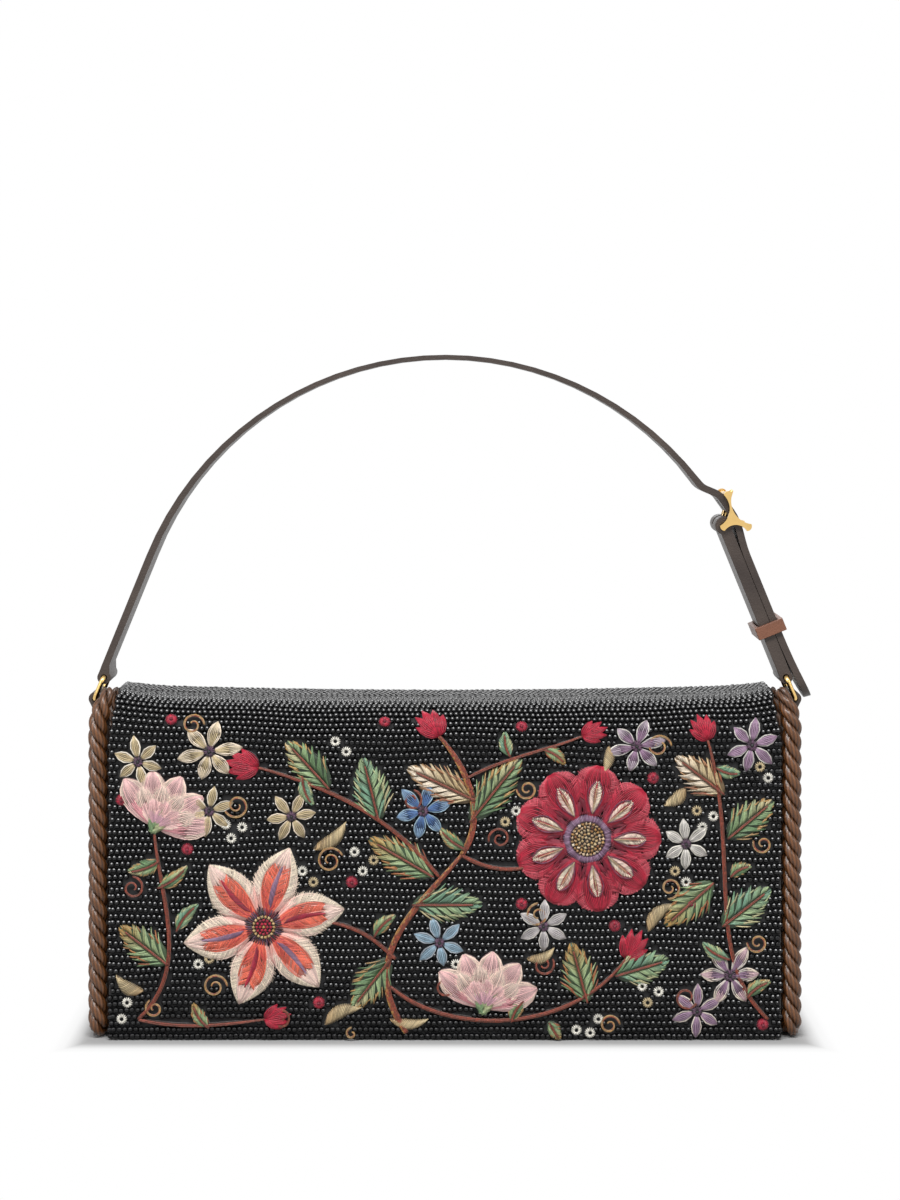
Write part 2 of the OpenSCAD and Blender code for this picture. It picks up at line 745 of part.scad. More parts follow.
// One cheek of the buckle: three rounded arms with hollow sides
module cheek() {
    ends = [[0, 0], entry_bar, rest_bar];
    tip_r = bar_r + 0.75;
    linear_extrude(cheek_t) difference() {
        union() {
            polygon(ends);
            for (p = ends) translate(p) circle(tip_r);
        }
        for (i = [0:2]) {
            a = ends[i];
            b = ends[(i + 1) % 3];
            third = ends[(i + 2) % 3];
            side = [b[1] - a[1], a[0] - b[0]] / norm(b - a);
            away = side * ((third - a) * side > 0 ? -1 : 1);
            h = 0.55 * norm(b - a);
            translate((a + b) / 2 + h * away) circle(norm([norm(b - a) / 2, h]) - tip_r * 0.62);
        }
    }
}

module buckle_frame() {
    color([0.83, 0.65, 0.32]) translate([pivot[0], 0, pivot[1]]) rotate([0, -leg_a, 0]) {
        for (s = [-1, 1]) translate([0, s > 0 ? cheek_y + cheek_t : -cheek_y, 0])
            rotate([90, 0, 0]) cheek();
        for (p = [[0, 0], entry_bar, rest_bar]) translate([p[0], 0, p[1]]) rotate([90, 0, 0])
            cylinder(r = bar_r, h = 2 * cheek_y + 0.2, center = true);
    }
}

// The prong: an eye that turns on the pivot bar and an arm that ends on the entry bar
module buckle_prong() {
    eye_in = bar_r + 0.06;
    color([0.83, 0.65, 0.32]) translate([pivot[0], 0, pivot[1]]) rotate([0, -leg_a, 0]) {
        rotate([90, 0, 0]) difference() {
            cylinder(r = eye_in + 0.95, h = 2 * prong_r, center = true);
            cylinder(r = eye_in, h = 2 * prong_r + 1, center = true);
        }
        rotate([0, prong_lean, 0]) {
            translate([0, 0, eye_in + 0.4]) cylinder(r = prong_r, h = prong_reach - eye_in - 0.4);
            translate([0, 0, prong_reach]) sphere(prong_r);
        }
    }
}

// The keeper: a band round the chape and the tongue
module keeper() {
    u0 = -chape_t - slip;
    u1 = tongue_u + strap_t / 2 + slip;
    y1 = strap_w / 2 + slip;
    color([0.36, 0.22, 0.15]) translate([pivot[0], 0, pivot[1]]) rotate([0, -leg_a, 0])
        translate([0, 0, -keeper_at - keeper_len / 2]) difference() {
            block([u0 - keeper_t, -y1 - keeper_t, 0], [u1 + keeper_t, y1 + keeper_t, keeper_len]);
            block([u0, -y1, -1], [u1, y1, keeper_len + 1]);
        }
}

back_panel();
front_panel();
base_panel();
gusset_left();
gusset_right();
back_board();
front_board();
base_board();
lining();
slip_pocket();
rope_left();
rope_right();
snap_socket();
snap_socket_washer();
flap_top();
flap_top_pad();
flap_top_lining();
flap_front();
flap_front_board();
flap_front_lining();
snap_stud();
snap_stud_washer();
tab_left();
tab_right();
ring_left();
ring_right();
strap();
chape();
buckle_frame();
buckle_prong();
keeper();
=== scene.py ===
import json
import math

import bpy
import numpy as np
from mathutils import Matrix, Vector

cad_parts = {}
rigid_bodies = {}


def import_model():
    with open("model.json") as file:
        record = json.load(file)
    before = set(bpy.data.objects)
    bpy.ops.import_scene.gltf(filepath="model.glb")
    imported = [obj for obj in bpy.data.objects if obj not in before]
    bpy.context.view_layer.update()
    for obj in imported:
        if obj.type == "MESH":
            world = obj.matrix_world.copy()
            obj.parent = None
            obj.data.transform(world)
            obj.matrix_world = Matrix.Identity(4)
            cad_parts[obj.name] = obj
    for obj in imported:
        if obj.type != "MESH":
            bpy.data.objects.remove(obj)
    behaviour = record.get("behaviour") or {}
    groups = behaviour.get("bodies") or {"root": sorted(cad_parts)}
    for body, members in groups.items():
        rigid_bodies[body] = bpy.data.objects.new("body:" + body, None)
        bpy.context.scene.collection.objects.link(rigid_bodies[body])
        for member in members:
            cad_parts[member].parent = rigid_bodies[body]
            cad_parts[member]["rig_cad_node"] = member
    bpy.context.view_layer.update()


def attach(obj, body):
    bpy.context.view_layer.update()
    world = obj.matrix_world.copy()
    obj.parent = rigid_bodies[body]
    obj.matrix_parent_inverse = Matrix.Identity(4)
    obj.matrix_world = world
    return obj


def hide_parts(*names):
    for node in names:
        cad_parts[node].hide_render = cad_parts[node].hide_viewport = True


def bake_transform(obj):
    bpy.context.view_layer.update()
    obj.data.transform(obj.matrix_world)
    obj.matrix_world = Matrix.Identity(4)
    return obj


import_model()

mm = 0.001

# helpers


def linear(r, g, b):
    # each channel of a screen colour, 0 to 255, to scene light: ((c + 0.055) / 1.055) to the power 2.4
    c = np.array([r, g, b]) / 255.0
    return tuple(np.where(c <= 0.04045, c / 12.92, ((c + 0.055) / 1.055) ** 2.4))


def unit(v):
    # each vector over its own length
    return v / np.maximum(np.linalg.norm(v, axis=-1, keepdims=True), 1e-12)


def circle(w):
    # the point at each angle on a circle of radius 1
    return np.stack([np.cos(w), np.sin(w)], -1)


def gridFaces(rows, columns, closed=False):
    # quads between neighbouring points of a grid; closed joins the last column to the first
    r = np.arange(rows - 1)[:, None]
    c = np.arange(columns if closed else columns - 1)[None, :]
    d = (c + 1) % columns
    corners = [r * columns + c, r * columns + d, (r + 1) * columns + d, (r + 1) * columns + c]
    return np.stack(corners, -1).reshape(-1, 4)


def closedTube(rings, sides):
    # the quads round a tube, and a face over its first and its last ring
    first = np.arange(sides)[None, ::-1]
    last = (rings - 1) * sides + np.arange(sides)[None, :]
    return [gridFaces(rings, sides, closed=True), first, last]


def flipped(faceSets):
    # the same faces seen from their other side
    return [f[:, ::-1] for f in faceSets]


def repeated(faceSets, count, step):
    # the faces of one copy, again for every copy, whose points are step places further on each time
    shift = (np.arange(count) * step)[:, None, None]
    return [(f[None] + shift).reshape(-1, f.shape[1]) for f in faceSets]


def addMesh(name, points, faceSets, material, smooth=True, colours=None):
    # points in millimetres; faceSets is a list of arrays, each with a row of corners for each face;
    # smooth is one value, or one for each face; colours has one row for each point
    mesh = bpy.data.meshes.new(name)
    faceSets = [np.asarray(f, int) for f in faceSets if len(f)]
    corners = np.concatenate([f.ravel() for f in faceSets])
    sizes = np.concatenate([np.full(len(f), f.shape[1]) for f in faceSets])
    starts = np.concatenate([[0], np.cumsum(sizes)[:-1]])
    mesh.vertices.add(len(points))
    mesh.vertices.foreach_set("co", (np.asarray(points, float) * mm).astype(np.float32).ravel())
    mesh.loops.add(len(corners))
    mesh.loops.foreach_set("vertex_index", corners.astype(np.int32))
    mesh.polygons.add(len(sizes))
    mesh.polygons.foreach_set("loop_start", starts.astype(np.int32))
    mesh.polygons.foreach_set("loop_total", sizes.astype(np.int32))
    mesh.polygons.foreach_set("use_smooth", np.broadcast_to(smooth, len(sizes)).tolist())
    if colours is not None:
        attribute = mesh.color_attributes.new("thread", "FLOAT_COLOR", "POINT")
        rgba = np.concatenate([colours, np.ones((len(colours), 1))], 1)
        attribute.data.foreach_set("color", rgba.astype(np.float32).ravel())
    mesh.update(calc_edges=True)
    mesh.validate()
    mesh.materials.append(material)
    piece = bpy.data.objects.new(name, mesh)
    bpy.context.scene.collection.objects.link(piece)
    return piece


def tubes(paths, radii, sides, ups):
    # a ring of points round every path point: centre + radius (cos w * side + sin w * up), where w goes
    # once round
    count, rings = paths.shape[:2]
    along = unit(np.gradient(paths, axis=1))
    side = unit(np.cross(along, ups))
    up = np.cross(side, along)
    w = 2 * np.pi * (np.arange(sides) + 0.5) / sides
    ring = (np.cos(w)[:, None] * side[:, :, None, :] + np.sin(w)[:, None] * up[:, :, None, :])
    points = paths[:, :, None, :] + radii[:, :, None, None] * ring
    return points.reshape(-1, 3), repeated(flipped(closedTube(rings, sides)), count, rings * sides)


# finishes

def newMaterial(name):
    # a material with its nodes, its links and its main shader
    material = bpy.data.materials.new(name)
    material.use_nodes = True
    nodes = material.node_tree.nodes
    return material, nodes, material.node_tree.links, nodes["Principled BSDF"]


def node(nodes, kind, **values):
    # each value goes on the input of that name or, where there is none, on the node
    made = nodes.new(kind)
    for key, value in values.items():
        if key in made.inputs:
            made.inputs[key].default_value = value
        else:
            setattr(made, key, value)
    return made


def ramp(nodes, stops):
    # a row of colours; each stop is a place from 0 to 1 and a colour
    made = nodes.new("ShaderNodeValToRGB")
    elements = made.color_ramp.elements
    while len(elements) < len(stops):
        elements.new(0.5)
    for element, (place, colour) in zip(elements, stops):
        element.position = place
        element.color = (*colour, 1)
    return made


def pattern(nodes, links, kind, **values):
    # a texture, or another node with a Vector, that reads the piece's own Object coordinates
    made = node(nodes, kind, **values)
    place = nodes.get("place") or node(nodes, "ShaderNodeTexCoord", name="place")
    links.new(place.outputs["Object"], made.inputs["Vector"])
    return made


def tinted(nodes, links, source, stops, socket):
    # a value looked up in a row of colours
    colours = ramp(nodes, stops)
    links.new(source, colours.inputs["Fac"])
    links.new(colours.outputs["Color"], socket)


def spread(nodes, links, source, low, high, socket, span=(0.0, 1.0)):
    # a value stretched from its own span to low and high
    made = nodes.new("ShaderNodeMapRange")
    for key, value in zip(("From Min", "From Max", "To Min", "To Max"), (*span, low, high)):
        made.inputs[key].default_value = value
    links.new(source, made.inputs["Value"])
    links.new(made.outputs["Result"], socket)


def joined(nodes, links, operation, first, second):
    # one arithmetic step, such as MAXIMUM or MULTIPLY, on two values
    made = node(nodes, "ShaderNodeMath", operation=operation)
    links.new(first, made.inputs[0])
    links.new(second, made.inputs[1])
    return made.outputs["Value"]


def bump(nodes, links, shader, height, strength, distance):
    # the shading leans with the slope of the height, times strength and distance
    made = node(nodes, "ShaderNodeBump", Strength=strength, Distance=distance)
    links.new(height, made.inputs["Height"])
    links.new(made.outputs["Normal"], shader.inputs["Normal"])


def leatherFinish(name, dark, light, roughness=0.42):
    # pebbled grain from cells and a finer noise, on a ground whose tone and gloss drift slowly
    grain, depth = 900.0, 0.00012
    material, nodes, links, shader = newMaterial(name)
    cells = pattern(nodes, links, "ShaderNodeTexVoronoi", feature="DISTANCE_TO_EDGE", Scale=grain,
                    Randomness=1.0)
    patch = pattern(nodes, links, "ShaderNodeTexNoise", Scale=55.0, Detail=5.0, Roughness=0.6)
    fine = pattern(nodes, links, "ShaderNodeTexNoise", Scale=grain * 2.2, Detail=3.0)
    tinted(nodes, links, patch.outputs["Fac"], [(0.3, dark), (0.72, light)], shader.inputs["Base Color"])
    height = node(nodes, "ShaderNodeMath", operation="ADD")
    spread(nodes, links, cells.outputs["Distance"], 0.0, 1.0, height.inputs[0], (0.0, 0.25))
    links.new(fine.outputs["Fac"], height.inputs[1])
    bump(nodes, links, shader, height.outputs["Value"], 0.35, depth)
    spread(nodes, links, patch.outputs["Fac"], roughness - 0.07, roughness + 0.12,
           shader.inputs["Roughness"])
    shader.inputs["Specular IOR Level"].default_value = 0.45
    return material


def beadFinish(name, colour, gloss):
    # black glass; each bead is a little darker or lighter, duller or shinier than the next
    material, nodes, links, shader = newMaterial(name)
    noise = pattern(nodes, links, "ShaderNodeTexNoise", Scale=420.0, Detail=1.0)
    stops = [(0.35, tuple(0.45 * c for c in colour)), (0.7, tuple(1.9 * c for c in colour))]
    tinted(nodes, links, noise.outputs["Fac"], stops, shader.inputs["Base Color"])
    spread(nodes, links, noise.outputs["Fac"], 0.05, 0.15, shader.inputs["Roughness"])
    shader.inputs["IOR"].default_value = 1.52
    shader.inputs["Specular IOR Level"].default_value = gloss
    return material


def threadFinish(name, roughness=0.5, sheen=0.15):
    # the colour comes from the piece's "thread" attribute, broken up by a fine noise; on the rope and the
    # padding that attribute holds painted shade as well as the thread's own colour
    material, nodes, links, shader = newMaterial(name)
    colour = node(nodes, "ShaderNodeAttribute", attribute_name="thread")
    noise = pattern(nodes, links, "ShaderNodeTexNoise", Scale=2600.0, Detail=2.0)
    product = node(nodes, "ShaderNodeVectorMath", operation="SCALE")
    links.new(colour.outputs["Color"], product.inputs[0])
    spread(nodes, links, noise.outputs["Fac"], 0.78, 1.12, product.inputs["Scale"], (0.3, 0.7))
    links.new(product.outputs["Vector"], shader.inputs["Base Color"])
    bump(nodes, links, shader, noise.outputs["Fac"], 0.5, 0.00008)
    shader.inputs["Roughness"].default_value = roughness
    shader.inputs["Sheen Weight"].default_value = sheen
    shader.inputs["Sheen Roughness"].default_value = 0.4
    return material


def metalFinish(name, colour, roughness):
    # plated metal, slightly cloudy in tone and polish
    material, nodes, links, shader = newMaterial(name)
    noise = pattern(nodes, links, "ShaderNodeTexNoise", Scale=260.0, Detail=4.0)
    stops = [(0.3, tuple(0.86 * c for c in colour)), (0.7, colour)]
    tinted(nodes, links, noise.outputs["Fac"], stops, shader.inputs["Base Color"])
    spread(nodes, links, noise.outputs["Fac"], roughness * 0.7, roughness * 1.6, shader.inputs["Roughness"])
    shader.inputs["Metallic"].default_value = 1.0
    return material


def clothFinish(name, dark, light, pitch, roughness=0.75):
    # a plain weave: two sets of ridges across each other; the colour is painted shade, dark between the
    # ridges and light on them
    material, nodes, links, shader = newMaterial(name)
    wave = {"Scale": 1.0 / pitch / 6.283 * 20, "Distortion": 0.6, "Detail": 1.0}
    ridges = [pattern(nodes, links, "ShaderNodeTexWave", bands_direction=axis, **wave)
              for axis in ("X", "Z")]
    weave = joined(nodes, links, "MAXIMUM", *(ridge.outputs["Fac"] for ridge in ridges))
    # painted shade: the colour follows the weave's height, darker in the hollows between the ridges
    tinted(nodes, links, weave, [(0.1, dark), (0.9, light)], shader.inputs["Base Color"])
    bump(nodes, links, shader, weave, 0.4, 0.0001)
    shader.inputs["Roughness"].default_value = roughness
    shader.inputs["Sheen Weight"].default_value = 0.15
    return material


beadGlass = beadFinish("beadGlass", (0.003, 0.003, 0.0035), 0.29)
groundCloth = clothFinish("groundCloth", (0.002, 0.002, 0.002), (0.008, 0.008, 0.009), 0.0006)
silkThread = threadFinish("silkThread")
bodyLeather = leatherFinish("bodyLeather", linear(46, 32, 24), linear(66, 47, 36))
strapLeather = leatherFinish("strapLeather", linear(44, 35, 31), linear(64, 54, 48), roughness=0.38)
keeperLeather = leatherFinish("keeperLeather", linear(84, 52, 38), linear(118, 76, 56), roughness=0.4)
goldPlate = metalFinish("goldPlate", (0.86, 0.58, 0.22), 0.16)
washerSteel = metalFinish("washerSteel", (0.6, 0.6, 0.6), 0.3)
satinLining = clothFinish("satinLining", linear(70, 40, 28), linear(104, 62, 44), 0.0005, roughness=0.5)
fibreBoard = clothFinish("fibreBoard", linear(150, 135, 110), linear(178, 162, 136), 0.0011, roughness=0.9)
print("finishes made")

# the cloth that wraps the bag

wrap = {
    "width": 246.8, "height": 125.0, "depth": 46.0,
    "frontRoll": 12.0, "backRoll": 8.0, "baseRoll": 6.0,
    "taper": 2.2, "sag": 2.2, "hem": 0.7, "perk": 2.6,
}
frontY = -wrap["depth"] / 2
quarter = np.pi / 2
rollStart = wrap["height"] - wrap["frontRoll"]                       # length up the front to the roll
rollEnd = rollStart + quarter * wrap["frontRoll"]
topEnd = rollEnd + wrap["depth"] - wrap["frontRoll"] - wrap["backRoll"]
backStart = topEnd + quarter * wrap["backRoll"]
backEnd = backStart + wrap["height"] - wrap["backRoll"] - wrap["baseRoll"]
baseStart = backEnd + quarter * wrap["baseRoll"]
baseEnd = baseStart + wrap["depth"] - wrap["baseRoll"] - 5.5


def wrapPoint(x, s, h):
    # goes round the body by length s: up the front, over the front roll, back over the top, over the back
    # roll, down the back, round the bottom edge and forward under the base; h stands out along the normal
    x, s, h = np.broadcast_arrays(np.asarray(x, float), np.asarray(s, float), np.asarray(h, float))
    turn = np.clip((s - rollStart) / wrap["frontRoll"], 0, quarter) \
        + np.clip((s - topEnd) / wrap["backRoll"], 0, quarter) \
        + np.clip((s - backEnd) / wrap["baseRoll"], 0, quarter)
    ny, nz = -np.cos(turn), np.sin(turn)
    onFront = np.minimum(s, rollStart)
    front = np.clip(s - rollStart, 0, rollEnd - rollStart) / wrap["frontRoll"]
    top = np.clip(s - rollEnd, 0, topEnd - rollEnd)
    rear = np.clip(s - topEnd, 0, backStart - topEnd) / wrap["backRoll"]
    down = np.clip(s - backStart, 0, backEnd - backStart)
    foot = np.clip(s - backEnd, 0, baseStart - backEnd) / wrap["baseRoll"]
    under = np.maximum(s - baseStart, 0)
    y = frontY + wrap["frontRoll"] * (1 - np.cos(front)) + top + wrap["backRoll"] * np.sin(rear) \
        - wrap["baseRoll"] * (1 - np.cos(foot)) - under
    z = onFront + wrap["frontRoll"] * np.sin(front) - wrap["backRoll"] * (1 - np.cos(rear)) - down \
        - wrap["baseRoll"] * np.sin(foot)
    # a slight sag of the top between the two sides, whose corners are drawn up by the rope
    high = np.clip((z - 91) / 34, 0, 1) ** 2
    corner = np.clip((np.abs(x) - 100) / 22, 0, 1) ** 2 * (1 - 0.6 * np.clip((y + 11) / 26, 0, 1))
    z = z - wrap["sag"] * high * (1 - (x / 126) ** 2) + wrap["perk"] * high * corner
    return np.stack([x, y + h * ny, z + h * nz], -1)


def wrapFrame(x, s):
    # surface normal and the direction along s, from small steps
    e = 0.05
    a, b = wrapPoint(x, s - e, 0), wrapPoint(x, s + e, 0)
    c, d = wrapPoint(np.asarray(x) - e, s, 0), wrapPoint(np.asarray(x) + e, s, 0)
    along, across = unit(b - a), unit(d - c)
    return unit(np.cross(across, along)), along, across


def halfWidth(s):
    # half the cloth's width at a length s: narrower over the top, between the rope's ends
    z = wrapPoint(0, s, 0)[..., 2]
    back = np.clip((s - rollEnd) / (topEnd - rollEnd), 0, 1)
    return wrap["width"] / 2 - 0.4 - wrap["taper"] * np.clip((z - 107) / 13, 0, 1) * (1 - 0.6 * back)


topMiddle = (rollEnd + topEnd) / 2
frontBend = dict(start=wrapPoint(0, rollEnd, 0) * mm, end=wrapPoint(0, rollStart, 0) * mm)
backBend = dict(start=wrapPoint(0, backStart, 0) * mm, end=wrapPoint(0, topEnd, 0) * mm)


def follow(piece, where):
    # a piece on the front or the back of the flap keeps its place as it is; any other place names the body
    # that carries it
    if where == "front":
        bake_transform(piece)
    elif where == "back":
        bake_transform(piece)
    else:
        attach(piece, where)


def clothShell(name, s0, s1, outer, inner, inset, material, steps=160):
    # a shell round a flat cross-section with rounded side edges: outer face, turned edge, inner face
    s = np.linspace(s0, s1, steps)[:, None]
    face = np.linspace(-1, 1, 72)
    edge = np.linspace(0, np.pi, 9)[1:-1]
    middle, thick = (outer + inner) / 2, (outer - inner) / 2
    q = np.concatenate([face, np.ones(len(edge)), face[::-1], -np.ones(len(edge))])
    proud = np.concatenate([0 * face, np.sin(edge) * thick, 0 * face, -np.sin(edge) * thick])
    h = np.concatenate([outer + 0 * face, middle + np.cos(edge) * thick, inner + 0 * face,
                        middle - np.cos(edge) * thick])
    half = halfWidth(s) - inset - thick
    points = wrapPoint(q[None, :] * half + proud[None, :], s + 0 * q[None, :], h[None, :] + 0 * s)
    return addMesh(name, points.reshape(-1, 3), closedTube(steps, len(q)), material)


print("cloth")
flapCloth = clothShell("flapFrontCloth", wrap["hem"] + 0.4, topMiddle, -1.55, -3.9, 0.0, groundCloth)
follow(flapCloth, "front")
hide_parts("flap_front", "flap_front_board")
topCloth = clothShell("flapTopCloth", topMiddle, backStart + 1, -1.55, -3.9, 0.0, groundCloth, steps=60)
follow(topCloth, "back")
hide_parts("flap_top", "flap_top_pad")
backCloth = clothShell("backCloth", backStart + 1, baseEnd, -1.55, -2.55, 0.0, groundCloth)
follow(backCloth, "body")
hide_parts("back_panel", "base_panel")
flapLining = clothShell("flapFrontLining", wrap["hem"] + 2.4, topMiddle, -3.95, -4.2, 0.8, bodyLeather)
follow(flapLining, "front")
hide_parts("flap_front_lining")
topLining = clothShell("flapTopLining", topMiddle, backStart + 1, -3.95, -4.95, 0.8, bodyLeather, steps=60)
follow(topLining, "back")
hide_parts("flap_top_lining")

# the embroidery

art = {
    "cell": 0.25,             # cell of the map that says where thread lies
    "thread": 0.27,           # radius of a thread
    "gap": 0.64,              # distance between threads that lie side by side
    "clear": 0.5,             # how near to a thread a bead's middle may be
    "floor": -1.5,            # where the padding meets the cloth, from the beads' tops
    "hole": 0.28,             # how far a stitch's ends go below its form
    "tone": (0.6, 1.12),      # the darkest and the lightest thread of a colour
    "mapWidth": 250, "mapHeight": 150,
    "seed": 7,
}
rng = np.random.default_rng(art["seed"])
palette = {name: np.array(linear(*rgb)) for name, rgb in {
    "crimson": (176, 22, 52), "wine": (120, 16, 42), "rose": (204, 92, 104), "cream": (232, 216, 194),
    "blush": (234, 198, 190), "pink": (222, 170, 174), "coral": (228, 108, 82),
    "lilac": (158, 128, 154), "plum": (106, 70, 98), "mist": (190, 184, 184), "blue": (72, 106, 156),
    "sky": (150, 178, 196), "leaf": (104, 136, 92), "sage": (150, 170, 124), "moss": (70, 96, 62),
    "teal": (112, 152, 128), "rust": (148, 66, 46), "brown": (98, 50, 34), "gold": (176, 134, 72),
    "tan": (172, 142, 100), "sand": (198, 178, 138), "white": (236, 232, 220), "night": (20, 16, 20),
}.items()}
threads, pads = {}, []


def shades(names, t):
    # walks through the named colours as t goes from 0 to 1
    stops = np.array([palette[n] for n in names])
    place = np.clip(t, 0, 1) * (len(names) - 1)
    low = np.clip(np.floor(place).astype(int), 0, max(len(names) - 2, 0))
    share = (place - low)[..., None]
    return stops[low] * (1 - share) + stops[np.minimum(low + 1, len(names) - 1)] * share


def sew(group, flat, high, colour, thick=1.0, lift=0.2):
    # every stitch comes up out of a hole, arches by lift times the root of a half sine, and goes down again
    arch = np.sin(np.linspace(0, np.pi, flat.shape[1])) ** 0.5
    h = high + lift * arch - art["hole"] * (1 - arch)
    tone = np.broadcast_to(colour, (len(flat), 3)) * rng.uniform(*art["tone"], (len(flat), 1))
    threads.setdefault(group, []).append((flat, h, np.full(len(flat), art["thread"] * thick), tone))


def petal(base, tip, width, bend=0.0, peak=0.5, blunt=0.9, low=-0.45, rise=1.0):
    # the middle line goes from base to tip with a sideways bow; half the width is a sine along it, to a
    # power; the height is a half circle across, times the root of a sine along it
    base, tip = np.asarray(base, float), np.asarray(tip, float)
    run = tip - base
    length = np.hypot(*run)
    normal = np.array([-run[1], run[0]]) / length
    power = np.log(0.5) / np.log(peak)

    def place(t, q):
        t, q = np.broadcast_arrays(np.asarray(t, float), np.asarray(q, float))
        middle = base + t[..., None] * run + (4 * t * (1 - t) * bend)[..., None] * normal
        half = width / 2 * np.maximum(np.sin(np.pi * np.clip(t, 0, 1) ** power), 0) ** blunt
        return middle + (q * half)[..., None] * normal

    def height(t, q):
        dome = np.sqrt(np.maximum(1 - np.clip(np.abs(q), 0, 1) ** 2, 0))
        return low + rise * dome * np.maximum(np.sin(np.pi * np.clip(t, 0.03, 0.97)), 0) ** 0.5
    return {"place": place, "height": height, "length": length, "width": width}


def band(line, width):
    # a strip along a line of points, q across it; the ends are narrower
    line = np.asarray(line, float)
    span = np.concatenate([[0], np.cumsum(np.linalg.norm(np.diff(line, axis=0), axis=1))])
    along = unit(np.gradient(line, axis=0))
    side = np.stack([-along[:, 1], along[:, 0]], -1)

    def place(t, q):
        t, q = np.broadcast_arrays(np.asarray(t, float), np.asarray(q, float))
        half = width / 2 * np.interp(t, [0, 0.1, 0.7, 1], [0.75, 1, 0.95, 0.45])
        pick = lambda v: np.stack([np.interp(t * span[-1], span, v[:, k]) for k in (0, 1)], -1)
        return pick(line) + (q * half)[..., None] * pick(side)

    def height(t, q):
        return -0.5 + 0.7 * np.sqrt(np.maximum(1 - np.clip(np.abs(q), 0, 1) ** 2, 0)) + 0 * t
    return {"place": place, "height": height, "length": span[-1], "width": width}


def lay(group, form, ta, qa, tb, qb, colour, thick=1.0, lift=0.2, up=0.0):
    # stitches on a form, each straight in the form's own two directions
    u = np.linspace(0, 1, 5)
    ta, qa, tb, qb = (np.asarray(v, float)[..., None] for v in np.broadcast_arrays(ta, qa, tb, qb))
    t, q = ta + (tb - ta) * u, qa + (qb - qa) * u
    sew(group, form["place"](t, q), form["height"](t, q) + up, colour, thick, lift)


def pad(form, colour, trim=0.94):
    # the padding under the stitches: a dome on top, flat below, a little smaller than the form; its colour
    # is the thread's at a third, painted shade for the gaps between stitches
    t = np.linspace(0.02, 0.98, 16)[:, None]
    q = np.concatenate([np.linspace(-1, 1, 9), np.linspace(1, -1, 4)])[None, :] * trim
    top = np.arange(q.shape[1]) < 9
    high = np.where(top, form["height"](t, q) - art["thread"] * 0.6, art["floor"])
    # painted shade: the pad's colour is darkened to a third so that the gaps between stitches look shaded
    pads.append((form["place"](t, q), high, palette[colour] * 0.3))


def longFill(group, form, colours, edge=None, rows=1):
    # rows of long and short stitches from base to tip, shaded along the way, other colours at the edges
    columns = max(int(form["width"] / art["gap"]), 4)
    q = (np.arange(columns) + 0.5) / columns * 2 - 1
    for row in range(rows):
        jitter = rng.uniform(-0.1, 0.1, columns)
        t0 = np.clip(row / rows + jitter * (row > 0) - 0.02, 0.01, 1)
        t1 = np.clip((row + 1) / rows + 0.1 + np.where(row < rows - 1, jitter, -np.abs(jitter)), 0, 0.995)
        tone = shades(colours, (t0 + t1) / 2)
        if edge:
            tone = np.where((np.abs(q) > 0.6)[:, None], shades(edge, (t0 + t1) / 2), tone)
        lay(group, form, t0, q * 0.98, t1, q * 0.98, tone, up=0.05 * (rows - row))


def featherFill(group, form, colours, start=0.04, end=1.0, slant=0.26, t0=0.0, t1=1.0, teeth=0.0, up=0.0,
                share=1.0):
    # stitches that leave the middle line at a slant and end on the edge; teeth make the edge saw-like
    count = max(int(form["length"] * (t1 - t0) / art["gap"]), 5)
    t = t0 + (t1 - t0) * (np.arange(count) + 0.5) / count
    for side, names in zip((-1, 1), colours):
        some = t[rng.random(count) < share]
        tooth = 1 + teeth * (np.modf(some * form["length"] / 4.2 + 0.3 * side)[0] - 0.6)
        ragged = rng.uniform(-0.07, 0.06, len(some))
        lay(group, form, np.clip(some - slant * 0.25, 0.01, 1), start * side,
            np.clip(some + slant * (1 - some) * 0.9, 0, 0.985), side * (end * tooth + ragged),
            shades(names, some), up=up)


def satinFill(group, form, colours, slant):
    # satin stitches from one edge to the other
    t0, t1 = 0.02, 0.98
    count = max(int(form["length"] * (t1 - t0) / art["gap"]), 4)
    t = t0 + (t1 - t0) * (np.arange(count) + 0.5) / count
    lay(group, form, np.clip(t - slant, 0, 1), -1.0, np.clip(t + slant, 0, 1), 1.0, shades(colours, t))


def stem(group, line, width, colours, thick=1.0, up=0.0, padded=False):
    # rows of short stitches aslant along a line, each beside the last, as in a rope of stem stitch
    form = band(line, width)
    if padded:
        pad(form, colours[0], 0.9)
    rows = max(int(round(width / 0.5)), 1)
    count = max(int(form["length"] / 1.0), 3)
    t = np.arange(count) / count
    for row in range(rows):
        q = ((row + 0.5) / rows * 2 - 1) * 0.92
        tone = shades(colours, np.clip((row + 0.5) / rows + rng.uniform(-0.3, 0.3, count), 0, 1))
        lay(group, form, t, q - 0.2 / rows, np.clip(t + 2.3 / count, 0, 1), q + 0.2 / rows, tone, thick,
            0.16, up + 0.05)


def bezier(a, b, c, d):
    # a cubic through two ends with two handles
    t = np.linspace(0, 1, 40)[:, None]
    a, b, c, d = (np.asarray(v, float) for v in (a, b, c, d))
    return (1 - t) ** 3 * a + 3 * t * (1 - t) ** 2 * b + 3 * t**2 * (1 - t) * c + t**3 * d


def radial(group, centre, inner, outer, count, colours, low, high, thick=1.0):
    # spokes from an inner to an outer radius, whose height goes from low to high
    w = np.linspace(0, 2 * np.pi, count, endpoint=False)
    out = circle(w)[:, None, :]
    u = np.linspace(0, 1, 5)[None, :]
    flat = np.asarray(centre, float) + out * (inner + (outer - inner) * u)[..., None]
    sew(group, flat, low + (high - low) * u + 0 * w[:, None], shades(colours, rng.uniform(0, 1, count)),
        thick, 0.15)


